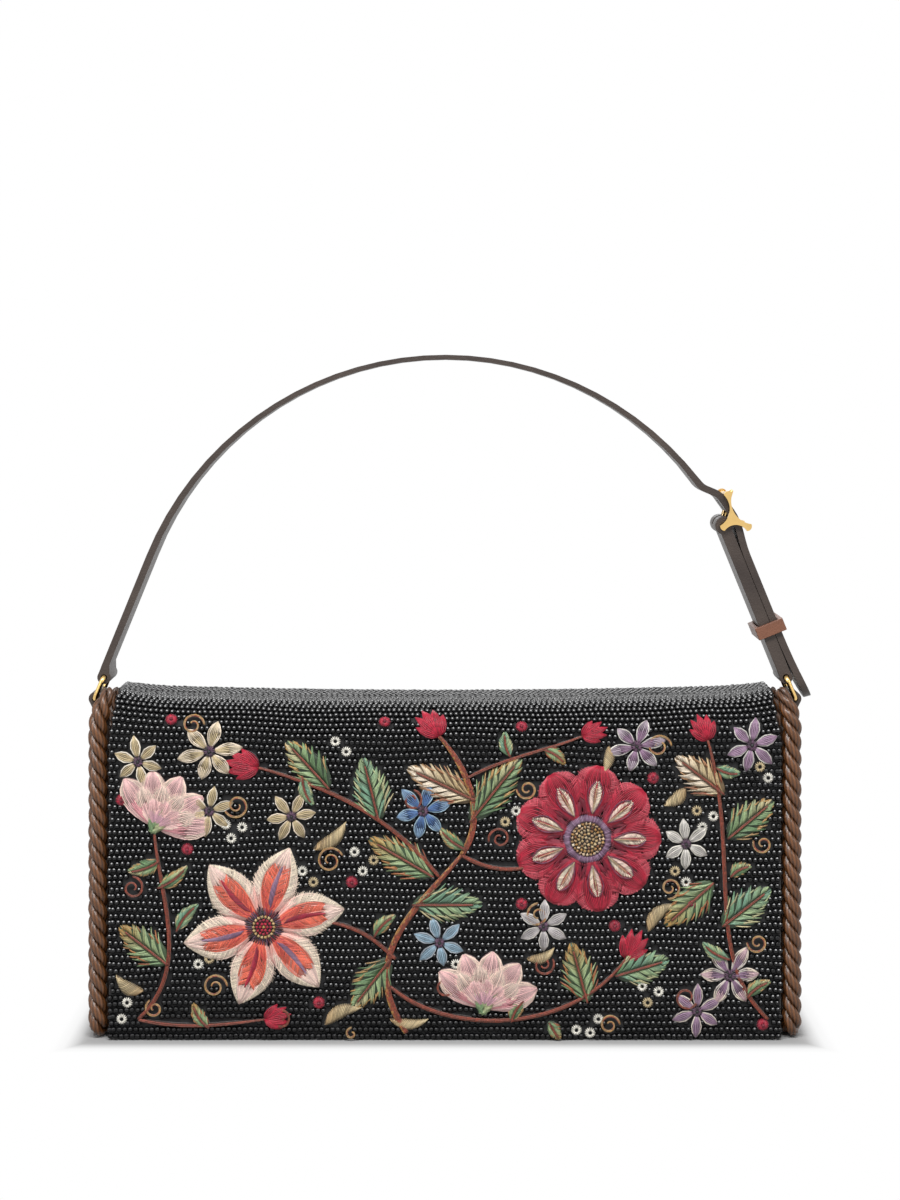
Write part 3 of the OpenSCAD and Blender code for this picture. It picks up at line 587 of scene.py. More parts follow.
def knots(group, places, colours, high=0.5, size=0.55):
    # each knot is two short thick stitches across each other
    places = np.atleast_2d(np.asarray(places, float))
    turn = rng.uniform(0, np.pi, len(places))
    for extra in (0, np.pi / 2):
        out = circle(turn + extra)[:, None, :] * size
        flat = places[:, None, :] + out * np.linspace(-1, 1, 5)[None, :, None]
        sew(group, flat, np.full(flat.shape[:2], high), shades(colours, rng.uniform(0, 1, len(places))),
            1.35, 0.4)


def curl(centre, size, start, turns, hand, colours):
    # a tendril: its radius shrinks steadily as it winds in
    a = np.linspace(0, 1, 40)
    angle = np.radians(start) + hand * a * turns * 2 * np.pi
    r = size * (1 - a * 0.78)
    stem("tendrils", np.asarray(centre) + r[:, None] * circle(angle), 0.9, colours, 0.85)


def turned(centre, degrees, reach):
    # the place at a distance from a centre, in a direction
    return np.asarray(centre, float) + reach * circle(np.radians(degrees))


def ray(centre, degrees, inner, outer, width, *form, **more):
    # a petal that points away from a centre, between two distances from it
    return petal(turned(centre, degrees, inner), turned(centre, degrees, outer), width, *form, **more)


def starBloom(centre, reach, turn):
    # an open bloom of six pointed petals: cream edges, coral towards the throat, a satin vein down each
    for k in range(6):
        a = turn + 60 * k
        form = ray(centre, a, 0.1 * reach, reach, 0.54 * reach, 0.03 * reach, low=-0.3, rise=1.25)
        pad(form, "blush")
        longFill("starBloomPetals", form, ("crimson", "coral", "coral", "blush", "cream"),
                 ("coral", "blush", "cream", "cream"), rows=3)
        featherFill("starBloomPetals", form, (("blush", "cream", "cream"),) * 2, 0.5, 1.02, 0.16, 0.16,
                    0.97, up=0.1)
        featherFill("starBloomPetals", form, (("crimson", "coral", "coral"),) * 2, 0.0, 0.56, 0.2, 0.1,
                    0.72, up=0.16, share=0.8)
        vein = ray(centre, a, 0.24 * reach, 0.78 * reach, 0.1 * reach, 0.03 * reach, 0.4, low=0.95,
                   rise=0.3)
        satinFill("starBloomVeins", vein, ("plum", "lilac") if k % 2 else ("wine", "crimson"), 0.1)
    heart = ray(centre, 0, -0.21 * reach, 0.21 * reach, 0.42 * reach, blunt=0.5, low=0.2, rise=1.1)
    pad(heart, "night")
    radial("starBloomVeins", centre, 0.12 * reach, 0.25 * reach, 46, ("plum", "night", "wine"), 1.2, 0.6)
    for ring, count, names in ((0.0, 1, ("gold",)), (0.042, 6, ("crimson",)),
                               (0.085, 12, ("crimson", "wine")), (0.125, 18, ("gold", "sand"))):
        w = np.linspace(0, 2 * np.pi, count, endpoint=False)
        knots("starBloomVeins", np.asarray(centre) + ring * reach * circle(w), names, 1.25, 0.5)


def roundBloom(centre, reach):
    # nine broad scalloped petals, a cream heart on each, and a knotted middle in a satin ring
    for k in range(9):
        a = 40 * k
        form = ray(centre, a, 0.2 * reach, reach, 0.6 * reach, 0, 0.7, 0.5, -0.35 + 0.12 * (k % 2), 1.25)
        pad(form, "wine")
        longFill("roundBloomPetals", form, ("wine", "crimson", "crimson", "crimson"),
                 ("wine", "wine", "crimson", "rose"), rows=3)
        featherFill("roundBloomPetals", form, (("crimson", "crimson", "rose"),) * 2, 0.55, 1.02, 0.14, 0.4,
                    0.99, up=0.1, share=0.8)
        heart = ray(centre, a, 0.34 * reach, 0.8 * reach, 0.19 * reach, 0, 0.6, 0.75, 0.85, 0.4)
        featherFill("roundBloomHearts", heart, (("cream", "cream"), ("blush", "cream")), slant=0.2)
        t = np.linspace(0.03, 0.97, 14)
        for side in (-1, 1):
            stem("roundBloomHearts", heart["place"](t, side * 1.1 + 0 * t), 0.5, ("plum", "wine"), 0.8, 1.3)
        stem("roundBloomHearts", heart["place"](t * 0.8, 0 * t), 0.4, ("tan", "sand"), 0.7, 1.7)
    disc = ray(centre, 0, -0.3 * reach, 0.3 * reach, 0.6 * reach, blunt=0.5, low=0.3, rise=1.1)
    pad(disc, "night")
    radial("roundBloomMiddle", centre, 0.23 * reach, 0.33 * reach, 92, ("plum", "lilac"), 1.35, 0.9)
    radial("roundBloomMiddle", centre, 0.33 * reach, 0.38 * reach, 92, ("wine",), 0.95, 0.75, 0.8)
    for ring, count in ((0.03, 3), (0.075, 9), (0.12, 15), (0.165, 21), (0.21, 27)):
        w = np.linspace(0, 2 * np.pi, count, endpoint=False) + ring * 9
        spots = np.asarray(centre) + ring * reach * circle(w)
        knots("roundBloomMiddle", spots, ("gold", "sand", "brown") if count % 2 and count < 20
              else ("brown", "gold", "cream"), 1.3, 0.5)


def fanBloom(centre, reach, turn):
    # a half-open bloom from the side: three layers of pale petals over a green cup
    for layer, (count, size, names, edge) in enumerate((
            (5, 1.0, ("rose", "pink", "blush"), ("pink", "blush", "cream")),
            (4, 0.8, ("pink", "blush", "cream"), ("blush", "cream")),
            (3, 0.56, ("lilac", "pink", "blush"), ("pink", "blush")))):
        for k in range(count):
            a = turn + 30 * (k - (count - 1) / 2)
            form = petal(centre, turned(centre, a, size * reach), 0.5 * size * reach, 0, 0.62, 0.65,
                         -0.35 + 0.3 * layer, 1.0)
            pad(form, "pink")
            longFill("fanBloomPetals", form, names, edge, rows=2)
    for k in range(3):
        a = turn + 34 * (k - 1)
        cup = ray(centre, a, -0.12 * reach, 0.4 * reach, 0.2 * reach, 0, 0.4, 0.8, 0.6, 0.5)
        pad(cup, "moss")
        featherFill("fanBloomCups", cup, (("sage", "sand"), ("leaf", "sage")))


leafTones = [
    ((("moss", "leaf", "sage"), ("leaf", "sage", "sand")), ("tan", "gold"), "moss"),
    ((("teal", "sage", "teal"), ("leaf", "teal", "sage")), ("sand", "sage"), "moss"),
    ((("sage", "sage", "gold"), ("leaf", "sage", "gold")), ("rust", "gold"), "leaf"),
    ((("tan", "sand", "cream"), ("sand", "cream", "cream")), ("rust", "tan"), "tan"),
]


def leaf(base, tip, width, tone, bend=0.0, teeth=0.5):
    # slanting stitches on both sides of a stem-stitched rib, with a second colour at the edges
    form = petal(base, tip, width, bend, 0.42, 0.75, -0.4, 0.95)
    colours, edge, under = leafTones[tone]
    group = "leavesLeft" if base[0] < 0 else "leavesRight"
    pad(form, under, 0.8)
    featherFill(group, form, colours, teeth=teeth, slant=0.32)
    featherFill(group, form, (edge, edge), 0.62, 1.0, 0.2, 0.15, 0.98, teeth, 0.06, 0.45)
    t = np.linspace(0.0, 0.86, 16)
    stem(group, form["place"](t, 0 * t), 0.85, ("rust", "brown"), 0.85, 0.75)


def blossom(centre, size, turn, colours, edge):
    # a small star: threads run from its eye to the tips, pale along the edges
    for k in range(6):
        a = turn + 60 * k + rng.uniform(-5, 5)
        reach = size * rng.uniform(1.06, 1.24)
        form = ray(centre, a, 0.1 * size, reach, 0.54 * size, 0, 0.55, 0.95, -0.5, 0.8)
        pad(form, colours[1], 0.8)
        longFill("blossoms", form, colours, edge, rows=1 if size < 8.6 else 2)
    radial("blossoms", centre, 0.04 * size, 0.24 * size, 14, ("night", "plum"), 0.5, 0.3)
    knots("blossoms", [centre], ("night",), 0.6, 0.7)


def bud(base, turn, size):
    # five closed petals in a fan, the outer ones shorter
    for aside, reach in ((-38, 0.72), (38, 0.72), (-18, 0.92), (18, 0.92), (0, 1.0)):
        form = petal(base, turned(base, turn + aside, reach * size), 0.34 * size, 0, 0.42, 0.8, -0.4, 0.85)
        pad(form, "wine")
        longFill("buds", form, ("wine", "crimson", "crimson", "coral"))


def berry(centre, size, colour):
    # a ring of short spokes
    radial("berries", centre, 0.38 * size, size, int(6 * size) + 4, (colour,), 0.1, -0.3)


# where everything grows; places are (across, up) on the flap's face
drawing = {
    # one end of a curve, its two handles, its other end, its width
    "vines": [
        ((-14, 3), (-34, 32), (-8, 50), (6, 68), 2.4), ((6, 68), (16, 82), (8, 100), (-2, 112), 2.4),
        ((-112, 8), (-92, 26), (-104, 52), (-106, 76), 1.6),
        ((118, 8), (94, 30), (108, 66), (96, 110), 1.6),
        ((-2, 60), (-20, 82), (-40, 92), (-68, 100), 1.5), ((-20, 20), (0, 2), (46, 2), (66, 30), 1.5),
        ((6, 68), (16, 62), (24, 62), (32, 64), 1.4), ((-18, 30), (-28, 40), (-34, 42), (-44, 44), 1.4),
        ((8, 96), (22, 104), (36, 106), (50, 112), 1.2), ((-112, 8), (-96, 4), (-80, 6), (-66, 8), 1.2),
    ],
    # base, tip, tone
    "leaves": [
        ((-20, 30), (-34, 12), 0), ((-12, 50), (14, 50), 1), ((-4, 60), (-28, 74), 2),
        ((9, 80), (28, 104), 0), ((11, 88), (-14, 100), 3), ((101, 42), (119, 56), 1),
        ((98, 58), (80, 42), 2), ((103, 74), (120, 88), 0), ((102, 90), (84, 104), 3),
        ((-101, 28), (-119, 42), 2), ((-24, 80), (-30, 104), 1), ((-42, 92), (-58, 110), 0),
        ((52, 14), (46, 36), 2), ((62, 24), (82, 30), 1),
    ],
    # base, tip, width, tone, bend
    "smallLeaves": [
        ((-98, 40), (-90, 50), 5, 1, 1), ((-105, 56), (-94, 64), 5, 0, -1),
        ((104, 30), (94, 36), 5, 1, 1), ((110, 16), (119, 22), 5, 0, 1), ((-86, 5), (-92, 14), 5, 2, 1),
        ((24, 7), (30, 16), 5, 0, 1), ((38, 7), (42, 0.5), 5, 2, 0), ((104, 60), (112, 64), 5, 0, 1),
        ((-52, 97), (-48, 86), 5, 1, -1), ((24, 104), (22, 114), 5, 1, 1),
        ((36, 107), (44, 101), 5, 2, 1), ((99, 100), (108, 98), 5, 1, -1),
        ((-104, 66), (-116, 62), 6, 0, 1), ((8, 70), (-2, 78), 5, 0, 1), ((-26, 38), (-18, 46), 5, 0, 1),
    ],
    # across, up, size, start, turns, hand
    "tendrils": [
        (-84, 20, 4.6, 0, 1.5, 1), (-114, 56, 4.2, 90, 1.4, -1), (-76, 86, 4.6, 200, 1.5, 1),
        (-42, 66, 5, 20, 1.6, 1), (20, 74, 4.2, 200, 1.4, -1), (34, 46, 4.4, 90, 1.5, 1),
        (88, 16, 4.6, 20, 1.5, -1), (114, 36, 3.8, 180, 1.4, 1), (78, 108, 4.6, 0, 1.5, 1),
        (0, 20, 4.0, 60, 1.5, -1), (-92, 116, 4.2, 0, 1.4, 1), (82, 56, 4.0, 260, 1.4, 1),
        (36, 28, 4.0, 30, 1.5, -1), (-12, 88, 3.8, 80, 1.4, -1), (116, 72, 3.6, 160, 1.3, 1),
        (-60, 8, 3.6, 90, 1.4, -1), (60, 6, 3.8, 0, 1.4, 1), (-34, 2.8, 2.2, 90, 1.0, 1),
        (30, 92, 3.8, 180, 1.4, 1), (-106, 12, 3.4, 120, 1.3, 1),
    ],
    # centre, size, turn, colours, edge colours
    "blossoms": [
        ((-86, 106), 10, 10, ("sand", "sand", "cream"), ("cream", "cream")),
        ((-112, 102), 8, 40, ("sand", "sand", "cream"), ("cream", "white")),
        ((-86, 84), 8, 22, ("tan", "sand", "cream"), ("cream", "white")),
        ((104, 24), 10, 0, ("plum", "lilac", "blush"), ("mist", "cream")),
        ((92, 11), 8, 25, ("plum", "lilac", "pink"), ("mist", "cream")),
        ((112, 108), 8.5, 18, ("plum", "lilac", "blush"), ("mist", "white")),
        ((70, 108), 9, 12, ("plum", "lilac", "mist"), ("mist", "white")),
        ((-8, 84), 9, 15, ("blue", "blue", "sky"), ("sky", "sky")),
        ((-2, 36), 8, 44, ("blue", "sky", "sky"), ("sky", "mist")),
        ((36, 42), 8, 30, ("sky", "mist", "white"), ("mist", "white")),
        ((-56, 82), 8, 5, ("tan", "sand", "cream"), ("cream", "cream")),
        ((88, 72), 8, 33, ("mist", "white"), ("white", "white")),
    ],
    # base, turn, size
    "buds": [
        ((-2, 112), 120, 13), ((50, 112), 20, 10), ((-68, 100), 170, 13), ((66, 30), 60, 12),
        ((-66, 8), 10, 10), ((96, 110), 110, 11),
    ],
    # base, tip, width, bend
    "scrolls": [
        ((-44, 6), (-30, 12), 5, 2), ((-48, 70), (-36, 80), 5, -2), ((74, 40), (84, 50), 5, 2),
        ((30, 30), (40, 34), 4, -2), ((-110, 18), (-120, 24), 5, 2), ((60, 108), (58, 98), 4, 1),
        ((88, 92), (80, 86), 5, 1), ((-20, 8), (-6, 8), 4, -2),
    ],
    # centres
    "berries": [
        (-30, 62), (-26, 66), (-33, 69), (22, 80), (26, 84), (28, 78), (94, 78), (92, 84), (98, 82),
        (-78, 74), (-74, 78), (-80, 79), (48, 4), (53, 3), (56, 8), (-90, 28), (-86, 30), (118, 96),
        (115, 100), (-52, 62), (-48, 58), (84, 62), (88, 58), (-40, 110), (-36, 106), (4, 28), (-118, 8),
        (-116, 14), (74, 14), (78, 18), (72, 20),
    ],
    # centres of the small red stars
    "spots": [
        (-94, 70), (28, 50), (90, 50), (116, 6), (-100, 118), (28, 116), (-34, 58), (76, 96), (-46, 14),
        (-118, 88), (62, 42), (-22, 118),
    ],
    # centre, reach, turn
    "starBloom": ((-66, 42), 30, 12), "roundBloom": ((52, 74), 27),
    "fanBlooms": [((-106, 78), 21, 62), ((14, 12), 21, 80)],
}

# the vines first, then what grows on them
for a, b, c, d, width in drawing["vines"]:
    colours = ("rust", "brown", "rust", "gold") if width > 2 else ("brown", "rust")
    stem("vines", bezier(a, b, c, d), width, colours, padded=True)
for base, tip, tone in drawing["leaves"]:
    leaf(base, tip, 12.4, tone)
for base, tip, width, tone, bend in drawing["smallLeaves"]:
    leaf(base, tip, width, tone, bend, 0.2)
for x, s, size, start, turns, hand in drawing["tendrils"]:
    colours = ("gold", "tan", "rust") if hand > 0 else ("rust", "brown", "rust")
    curl((x, s), size, start, turns, hand, colours)
starBloom(*drawing["starBloom"])
roundBloom(*drawing["roundBloom"])
for centre, reach, turn in drawing["fanBlooms"]:
    fanBloom(centre, reach, turn)
for centre, size, turn, inner, edge in drawing["blossoms"]:
    blossom(centre, size, turn, inner, edge)
for base, turn, size in drawing["buds"]:
    bud(base, turn, size)
for base, tip, width, bend in drawing["scrolls"]:
    scroll = petal(base, tip, width, bend, 0.42, 0.8, -0.45, 0.8)
    pad(scroll, "tan", 0.85)
    satinFill("scrollLeaves", scroll, ("tan", "sand", "sand"), 0.12)
for centre in drawing["berries"]:
    berry(centre, 1.9, "white" if rng.random() < 0.75 else "sand")
for centre in drawing["spots"]:
    radial("buds", centre, 0.3, 2.2, 22, ("crimson", "wine"), 0.5, -0.2)
    knots("buds", [centre], ("wine",), 0.6, 0.6)
stitches = sum(len(row[0]) for rows in threads.values() for row in rows)
print("embroidery drawn:", stitches, "stitches,", len(pads), "pads")


def threadMap():
    # marks each cell of the flap's face that a thread covers
    cell = art["cell"]
    covered = np.zeros((int(art["mapWidth"] / cell), int(art["mapHeight"] / cell)), bool)
    u = np.linspace(0, 3.999, 32)
    low = np.floor(u).astype(int)
    share = (u - low)[None, :, None]
    for rows in threads.values():
        for flat in (row[0] for row in rows):
            p = (flat[:, low] * (1 - share) + flat[:, low + 1] * share).reshape(-1, 2)
            i = np.clip(((p[:, 0] + art["mapWidth"] / 2) / cell).astype(int), 0, covered.shape[0] - 1)
            j = np.clip((p[:, 1] / cell).astype(int), 0, covered.shape[1] - 1)
            covered[i, j] = True
    return covered


def widen(marks, reach):
    # a cell is marked when any cell within reach of it is
    n = int(math.ceil(reach / art["cell"]))
    out = marks.copy()
    for i in range(-n, n + 1):
        for j in range(-n, n + 1):
            if i * i + j * j <= (reach / art["cell"]) ** 2:
                out |= np.roll(np.roll(marks, i, 0), j, 1)
    return out


covered = threadMap()
noBeads = widen(covered, art["clear"])
faceRows = int(wrap["height"] / art["cell"])
print("thread covers", round(float(covered[:, :faceRows].mean()), 2), "of the face")


def sewPiece(name, rows):
    # each stitch is a thin tube along its five points
    flat, h, radius, colour = (np.concatenate([row[k] for row in rows]) for k in range(4))
    points = wrapPoint(flat[..., 0], flat[..., 1], h)
    ups, _, _ = wrapFrame(flat[..., 0], flat[..., 1])
    thick = radius[:, None] * np.array([0.6, 1.0, 1.05, 1.0, 0.6])
    verts, faces = tubes(points, thick, 4, ups)
    piece = addMesh(name, verts, faces, silkThread, colours=np.repeat(colour, 5 * 4, axis=0))
    follow(piece, "front")


def padPiece(name, some):
    # all the padding as one piece: each pad is a closed loft, ring by ring, with its two ends capped
    flat = np.stack([p[0] for p in some])
    high = np.stack([p[1] for p in some])
    count, rows, ring = high.shape
    verts = wrapPoint(flat[..., 0], flat[..., 1], high).reshape(-1, 3)
    faces = repeated(flipped(closedTube(rows, ring)), count, rows * ring)
    # the pads' darkened colours: painted shade between the stitches
    tonesAndPaintedShade = np.repeat(np.stack([p[2] for p in some]), rows * ring, axis=0)
    piece = addMesh(name, verts, faces, silkThread, colours=tonesAndPaintedShade)
    follow(piece, "front")


for name, rows in threads.items():
    sewPiece(name, rows)
padPiece("embroideryPadding", pads)
print("embroidery sewn")

# the beads

beads = {
    "alongRow": 2.0, "rowPitch": 2.4, "radius": 1.04, "length": 1.86, "wander": 0.42, "jitter": 0.12,
    "firstRow": 1.7, "edge": 0.55, "cut": 12.5, "reach": 126, "rowShift": 0.4, "tilt": 0.1, "turn": 0.08,
    "rise": (-0.12, 0.06), "size": (0.95, 1.03),
}
fineBarrel = [(-0.5, 0.5), (-0.36, 0.88), (-0.13, 1.0), (0.13, 1.0), (0.36, 0.88), (0.5, 0.5)]
plainBarrel = [(-0.5, 0.55), (-0.16, 1.0), (0.16, 1.0), (0.5, 0.55)]


def beadTemplate(barrel, facing):
    # a barrel: rings of eight points whose radius swells in the middle of the bead's length; two of the
    # points stand close together, either side of the direction of the bead's one small cut face
    w = np.radians(facing + np.array([-65, -beads["cut"], beads["cut"], 60, 105, 150, 200, 248]))
    points = [np.stack([np.full_like(w, t * beads["length"]), r * beads["radius"] * np.cos(w),
                        r * beads["radius"] * np.sin(w)], -1) for t, r in barrel]
    faceSets = closedTube(len(barrel), len(w))
    cutFace = np.arange(len(faceSets[0])) == (len(barrel) // 2 - 1) * len(w) + 1
    return np.concatenate(points), faceSets, cutFace


def beadRows(name, s0, s1, where, seed, clear=None, barrel=fineBarrel, crowd=1.0, facing=58, sunk=0.0):
    # rows a pitch apart that wander slowly up and down, beads at their own pitch along each row, every
    # other row set off by half a bead
    dice = np.random.default_rng(seed)
    rowPlaces = np.arange(s0, s1, beads["rowPitch"] * crowd)
    across = np.arange(-beads["reach"], beads["reach"], beads["alongRow"])
    s, x = np.meshgrid(rowPlaces, across, indexing="ij")
    row = np.arange(len(rowPlaces))[:, None]
    rowShift = dice.uniform(-beads["rowShift"], beads["rowShift"], (len(s), 1))
    x = x + (row % 2) * beads["alongRow"] / 2 + rowShift + dice.uniform(-1, 1, x.shape) * beads["jitter"]
    phase = s * 0.021
    calm = np.clip(s / 20, 0, 1)                 # the rows run straight along the hem
    s = s + beads["wander"] * calm * (np.sin(x * 0.067 + phase * 3) + 0.6 * np.sin(x * 0.153 - phase * 5)) \
        + dice.uniform(-1, 1, s.shape) * beads["jitter"]
    x, s = x.ravel(), s.ravel()
    half = halfWidth(s) - beads["edge"]
    x = np.where((np.abs(x) > half) & (np.abs(x) < half + 0.9), np.sign(x) * half, x)
    inside = (np.abs(x) < half + 0.01) & (s > s0 - 1) & (s < s1)
    if clear is not None:
        i = np.clip(((x + art["mapWidth"] / 2) / art["cell"]).astype(int), 0, clear.shape[0] - 1)
        j = np.clip((s / art["cell"]).astype(int), 0, clear.shape[1] - 1)
        inside &= ~(clear[i, j] & (s < art["mapHeight"] - 1))
    x, s = x[inside], s[inside]
    normal, along, aside = wrapFrame(x, s)
    tilt = dice.uniform(-beads["tilt"], beads["tilt"], len(x))[:, None]
    turn = dice.uniform(-beads["turn"], beads["turn"], len(x))[:, None]
    axis = unit(aside + tilt * along + turn * normal)
    side = unit(np.cross(normal, axis))
    out = np.cross(axis, side)
    # on the flap each bead is rolled on its thread, so that its cut face looks forward and up everywhere
    rolled = np.arctan2(normal[:, 2], -normal[:, 1])[:, None] * (where != "body")
    side, out = side * np.cos(rolled) + out * np.sin(rolled), out * np.cos(rolled) - side * np.sin(rolled)
    centre = wrapPoint(x, s, -beads["radius"] - sunk + dice.uniform(*beads["rise"], len(x)))
    size = dice.uniform(*beads["size"], (len(x), 1, 1))
    points, faceSets, cutFace = beadTemplate(barrel, facing)
    basis = np.stack([axis, side, out], 1)
    verts = centre[:, None, :] + size * np.einsum("pk,nkc->npc", points, basis)
    faces = repeated(faceSets, len(x), len(points))
    smooth = np.concatenate([np.tile(~cutFace, len(x)), np.ones(2 * len(x), bool)])
    piece = addMesh(name, verts.reshape(-1, 3), faces, beadGlass, smooth=smooth)
    follow(piece, where)


def rowAt(s):
    # the first row at or above a length, on the same pitch as the rows below it
    return beads["firstRow"] + math.ceil((s - beads["firstRow"]) / beads["rowPitch"]) * beads["rowPitch"]


flapCuts = [beads["firstRow"], rowAt(34), rowAt(64), rowAt(90), rowAt(111)]
for k, name in enumerate(("beadsFlapHem", "beadsFlapLower", "beadsFlapUpper", "beadsFlapHigh")):
    beadRows(name, flapCuts[k], flapCuts[k + 1] - 0.01, "front", 11 + k, noBeads)
beadRows("beadsFlapRoll", flapCuts[4], topMiddle, "front", 21, noBeads, crowd=0.97, facing=60.5)
beadRows("beadsTop", rowAt(topMiddle), backStart, "back", 13, crowd=0.97, facing=67)
backMiddle = (backStart + backEnd) / 2
beadRows("beadsBackUpper", rowAt(backStart), backMiddle, "body", 14, barrel=plainBarrel, facing=122)
beadRows("beadsBackLower", rowAt(backMiddle), backEnd + 6, "body", 15, barrel=plainBarrel, facing=122)
beadRows("beadsBase", rowAt(backEnd + 6), baseEnd - 1, "body", 16, barrel=plainBarrel, sunk=0.15)
print("beads threaded")

# the rope trim along the side seams

rope = {
    "diameter": 7.2, "lay": 17.0, "strandRadius": 1.84, "yarns": 7, "yarnLay": 9.0, "yarnDepth": 0.3,
    "x": 127.2, "y": 19.1, "low": 3.9, "turn": 2.4, "topZ": 127.4, "lean": 1.8, "leanHeight": 13.0,
    "colour": (94, 58, 30), "rings": 620, "sides": 30,
}
# the rope's front end, from its tip down: how far it leans in, how far back it lies, how far below the tip
ropeHead = [(2.0, 4.2, 0.0), (1.7, 2.6, 1.8), (1.0, 1.1, 4.6), (0.4, 0.3, 8.4), (0.0, 0.0, 13.0)]


def ropeRoute(count):
    # the middle of the rope on the right side: down the front seam, under the gusset and up the back seam
    y0, x0 = -rope["y"], rope["x"]
    head = [(x0 - rope["lean"] * lean, y0 + back, rope["topZ"] - down) for lean, back, down in ropeHead]
    bend = rope["low"] + rope["turn"]
    down = [(x0, y0, z) for z in np.linspace(rope["topZ"] - rope["leanHeight"] - 8, bend, 16)]
    a = np.radians(np.linspace(180, 270, 7)[1:])
    corner = [(x0, y0 + rope["turn"] + rope["turn"] * math.cos(w), bend + rope["turn"] * math.sin(w))
              for w in a]
    under = [(x0, y, rope["low"]) for y in np.linspace(y0 + rope["turn"] + 0.8, -1, 6)]
    half = head + down + corner + under
    # the same again backwards up the back seam, whose end stops lower than the front one
    back = [(p[0], -p[1], p[2]) for p in half[:1:-1]]
    points = np.array(half + back)
    span = np.concatenate([[0], np.cumsum(np.linalg.norm(np.diff(points, axis=0), axis=1))])
    u = np.linspace(0, span[-1], count)
    slope = np.gradient(points, span, axis=0)
    k = np.clip(np.searchsorted(span, u, side="right") - 1, 0, len(points) - 2)
    h = (span[k + 1] - span[k])[:, None]
    t = ((u - span[k]) / h[:, 0])[:, None]
    route = (2 * t**3 - 3 * t**2 + 1) * points[k] + (t**3 - 2 * t**2 + t) * h * slope[k] \
        + (-2 * t**3 + 3 * t**2) * points[k + 1] + (t**3 - t**2) * h * slope[k + 1]
    return route, u


def ropePiece(name, cadNode, hand, material):
    # three strands twisted round the route; each strand's radius swells and dips with the yarns on it,
    # and its colour has painted light and shade: lighter on the yarns' crests, darker in their grooves and
    # towards the rope's middle, where paintedValleyShade is 0
    route, u = ropeRoute(rope["rings"])
    along = unit(np.gradient(route, axis=0))
    a = unit(np.cross(along, np.array([1.0, 0, 0])))
    b = np.cross(along, a)
    sides = rope["sides"]
    w = 2 * np.pi * np.arange(sides) / sides
    # the ends are narrower
    slim = np.interp(np.minimum(u, u[-1] - u), [0, 1.2, 9], [0.3, 0.62, 1])[:, None]
    offset = slim * (rope["diameter"] / 2 - rope["strandRadius"])
    verts, faces, tonesAndPaintedShade = [], [], []
    dice = np.random.default_rng(31)
    for strand in range(3):
        turn = 2 * np.pi * (hand * u / rope["lay"] + strand / 3)
        centre = route + offset * (np.cos(turn)[:, None] * a + np.sin(turn)[:, None] * b)
        heading = unit(np.gradient(centre, axis=0))
        out = unit(centre - route)
        side = unit(np.cross(heading, out))
        up = np.cross(side, heading)
        yarn = rope["yarns"] * (w[None, :] / (2 * np.pi) - hand * u[:, None] / rope["yarnLay"])
        groove = np.abs(np.cos(np.pi * yarn))
        wobble = np.interp(u, np.linspace(0, u[-1], 90), dice.uniform(-0.05, 0.05, 90))[:, None]
        radius = slim * (rope["strandRadius"] + wobble - rope["yarnDepth"] * groove ** 4)
        ring = np.cos(w)[None, :, None] * side[:, None, :] + np.sin(w)[None, :, None] * up[:, None, :]
        points = centre[:, None, :] + radius[:, :, None] * ring
        reach = np.linalg.norm(points - route[:, None, :], axis=2)
        # painted shade: 0 in the valleys towards the rope's middle, 1 on the strands' outsides
        paintedValleyShade = np.clip((reach - 2.1 * slim) / 1.3, 0, 1)
        yarnTone = np.interp(yarn, np.arange(-400, 1200), dice.uniform(0.85, 1.2, 1600))
        # painted light and shade: lighter on the yarn crests, darker in the grooves and in the valleys
        # between strands; yarnTone is the yarns' own random tone
        tonesAndPaintedShade.append(((1.35 - 0.95 * groove ** 3) * (0.22 + 0.83 * paintedValleyShade) * yarnTone).ravel())
        verts.append(points.reshape(-1, 3))
        faces += [f + strand * len(u) * sides for f in flipped(closedTube(len(u), sides))]
    points = np.concatenate(verts)
    colour = np.array(linear(*rope["colour"])) * np.concatenate(tonesAndPaintedShade)[:, None]
    if name == "ropeLeft":
        points[:, 0] *= -1
        faces = flipped(faces)
    piece = addMesh(name, points, faces, material, colours=colour)
    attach(piece, "body")
    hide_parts(cadNode)


ropeSilk = threadFinish("ropeSilk", roughness=0.34, sheen=0.0)
ropePiece("ropeRight", "rope_right", -1, ropeSilk)
ropePiece("ropeLeft", "rope_left", 1, ropeSilk)
print("rope laid")

# the padded side walls

gusset = {
    "inner": 123.4, "outer": 126.7, "halfDepth": 15.4, "low": 8.2, "top": 114.2, "dip": 2.0, "dimple": 1.5,
}


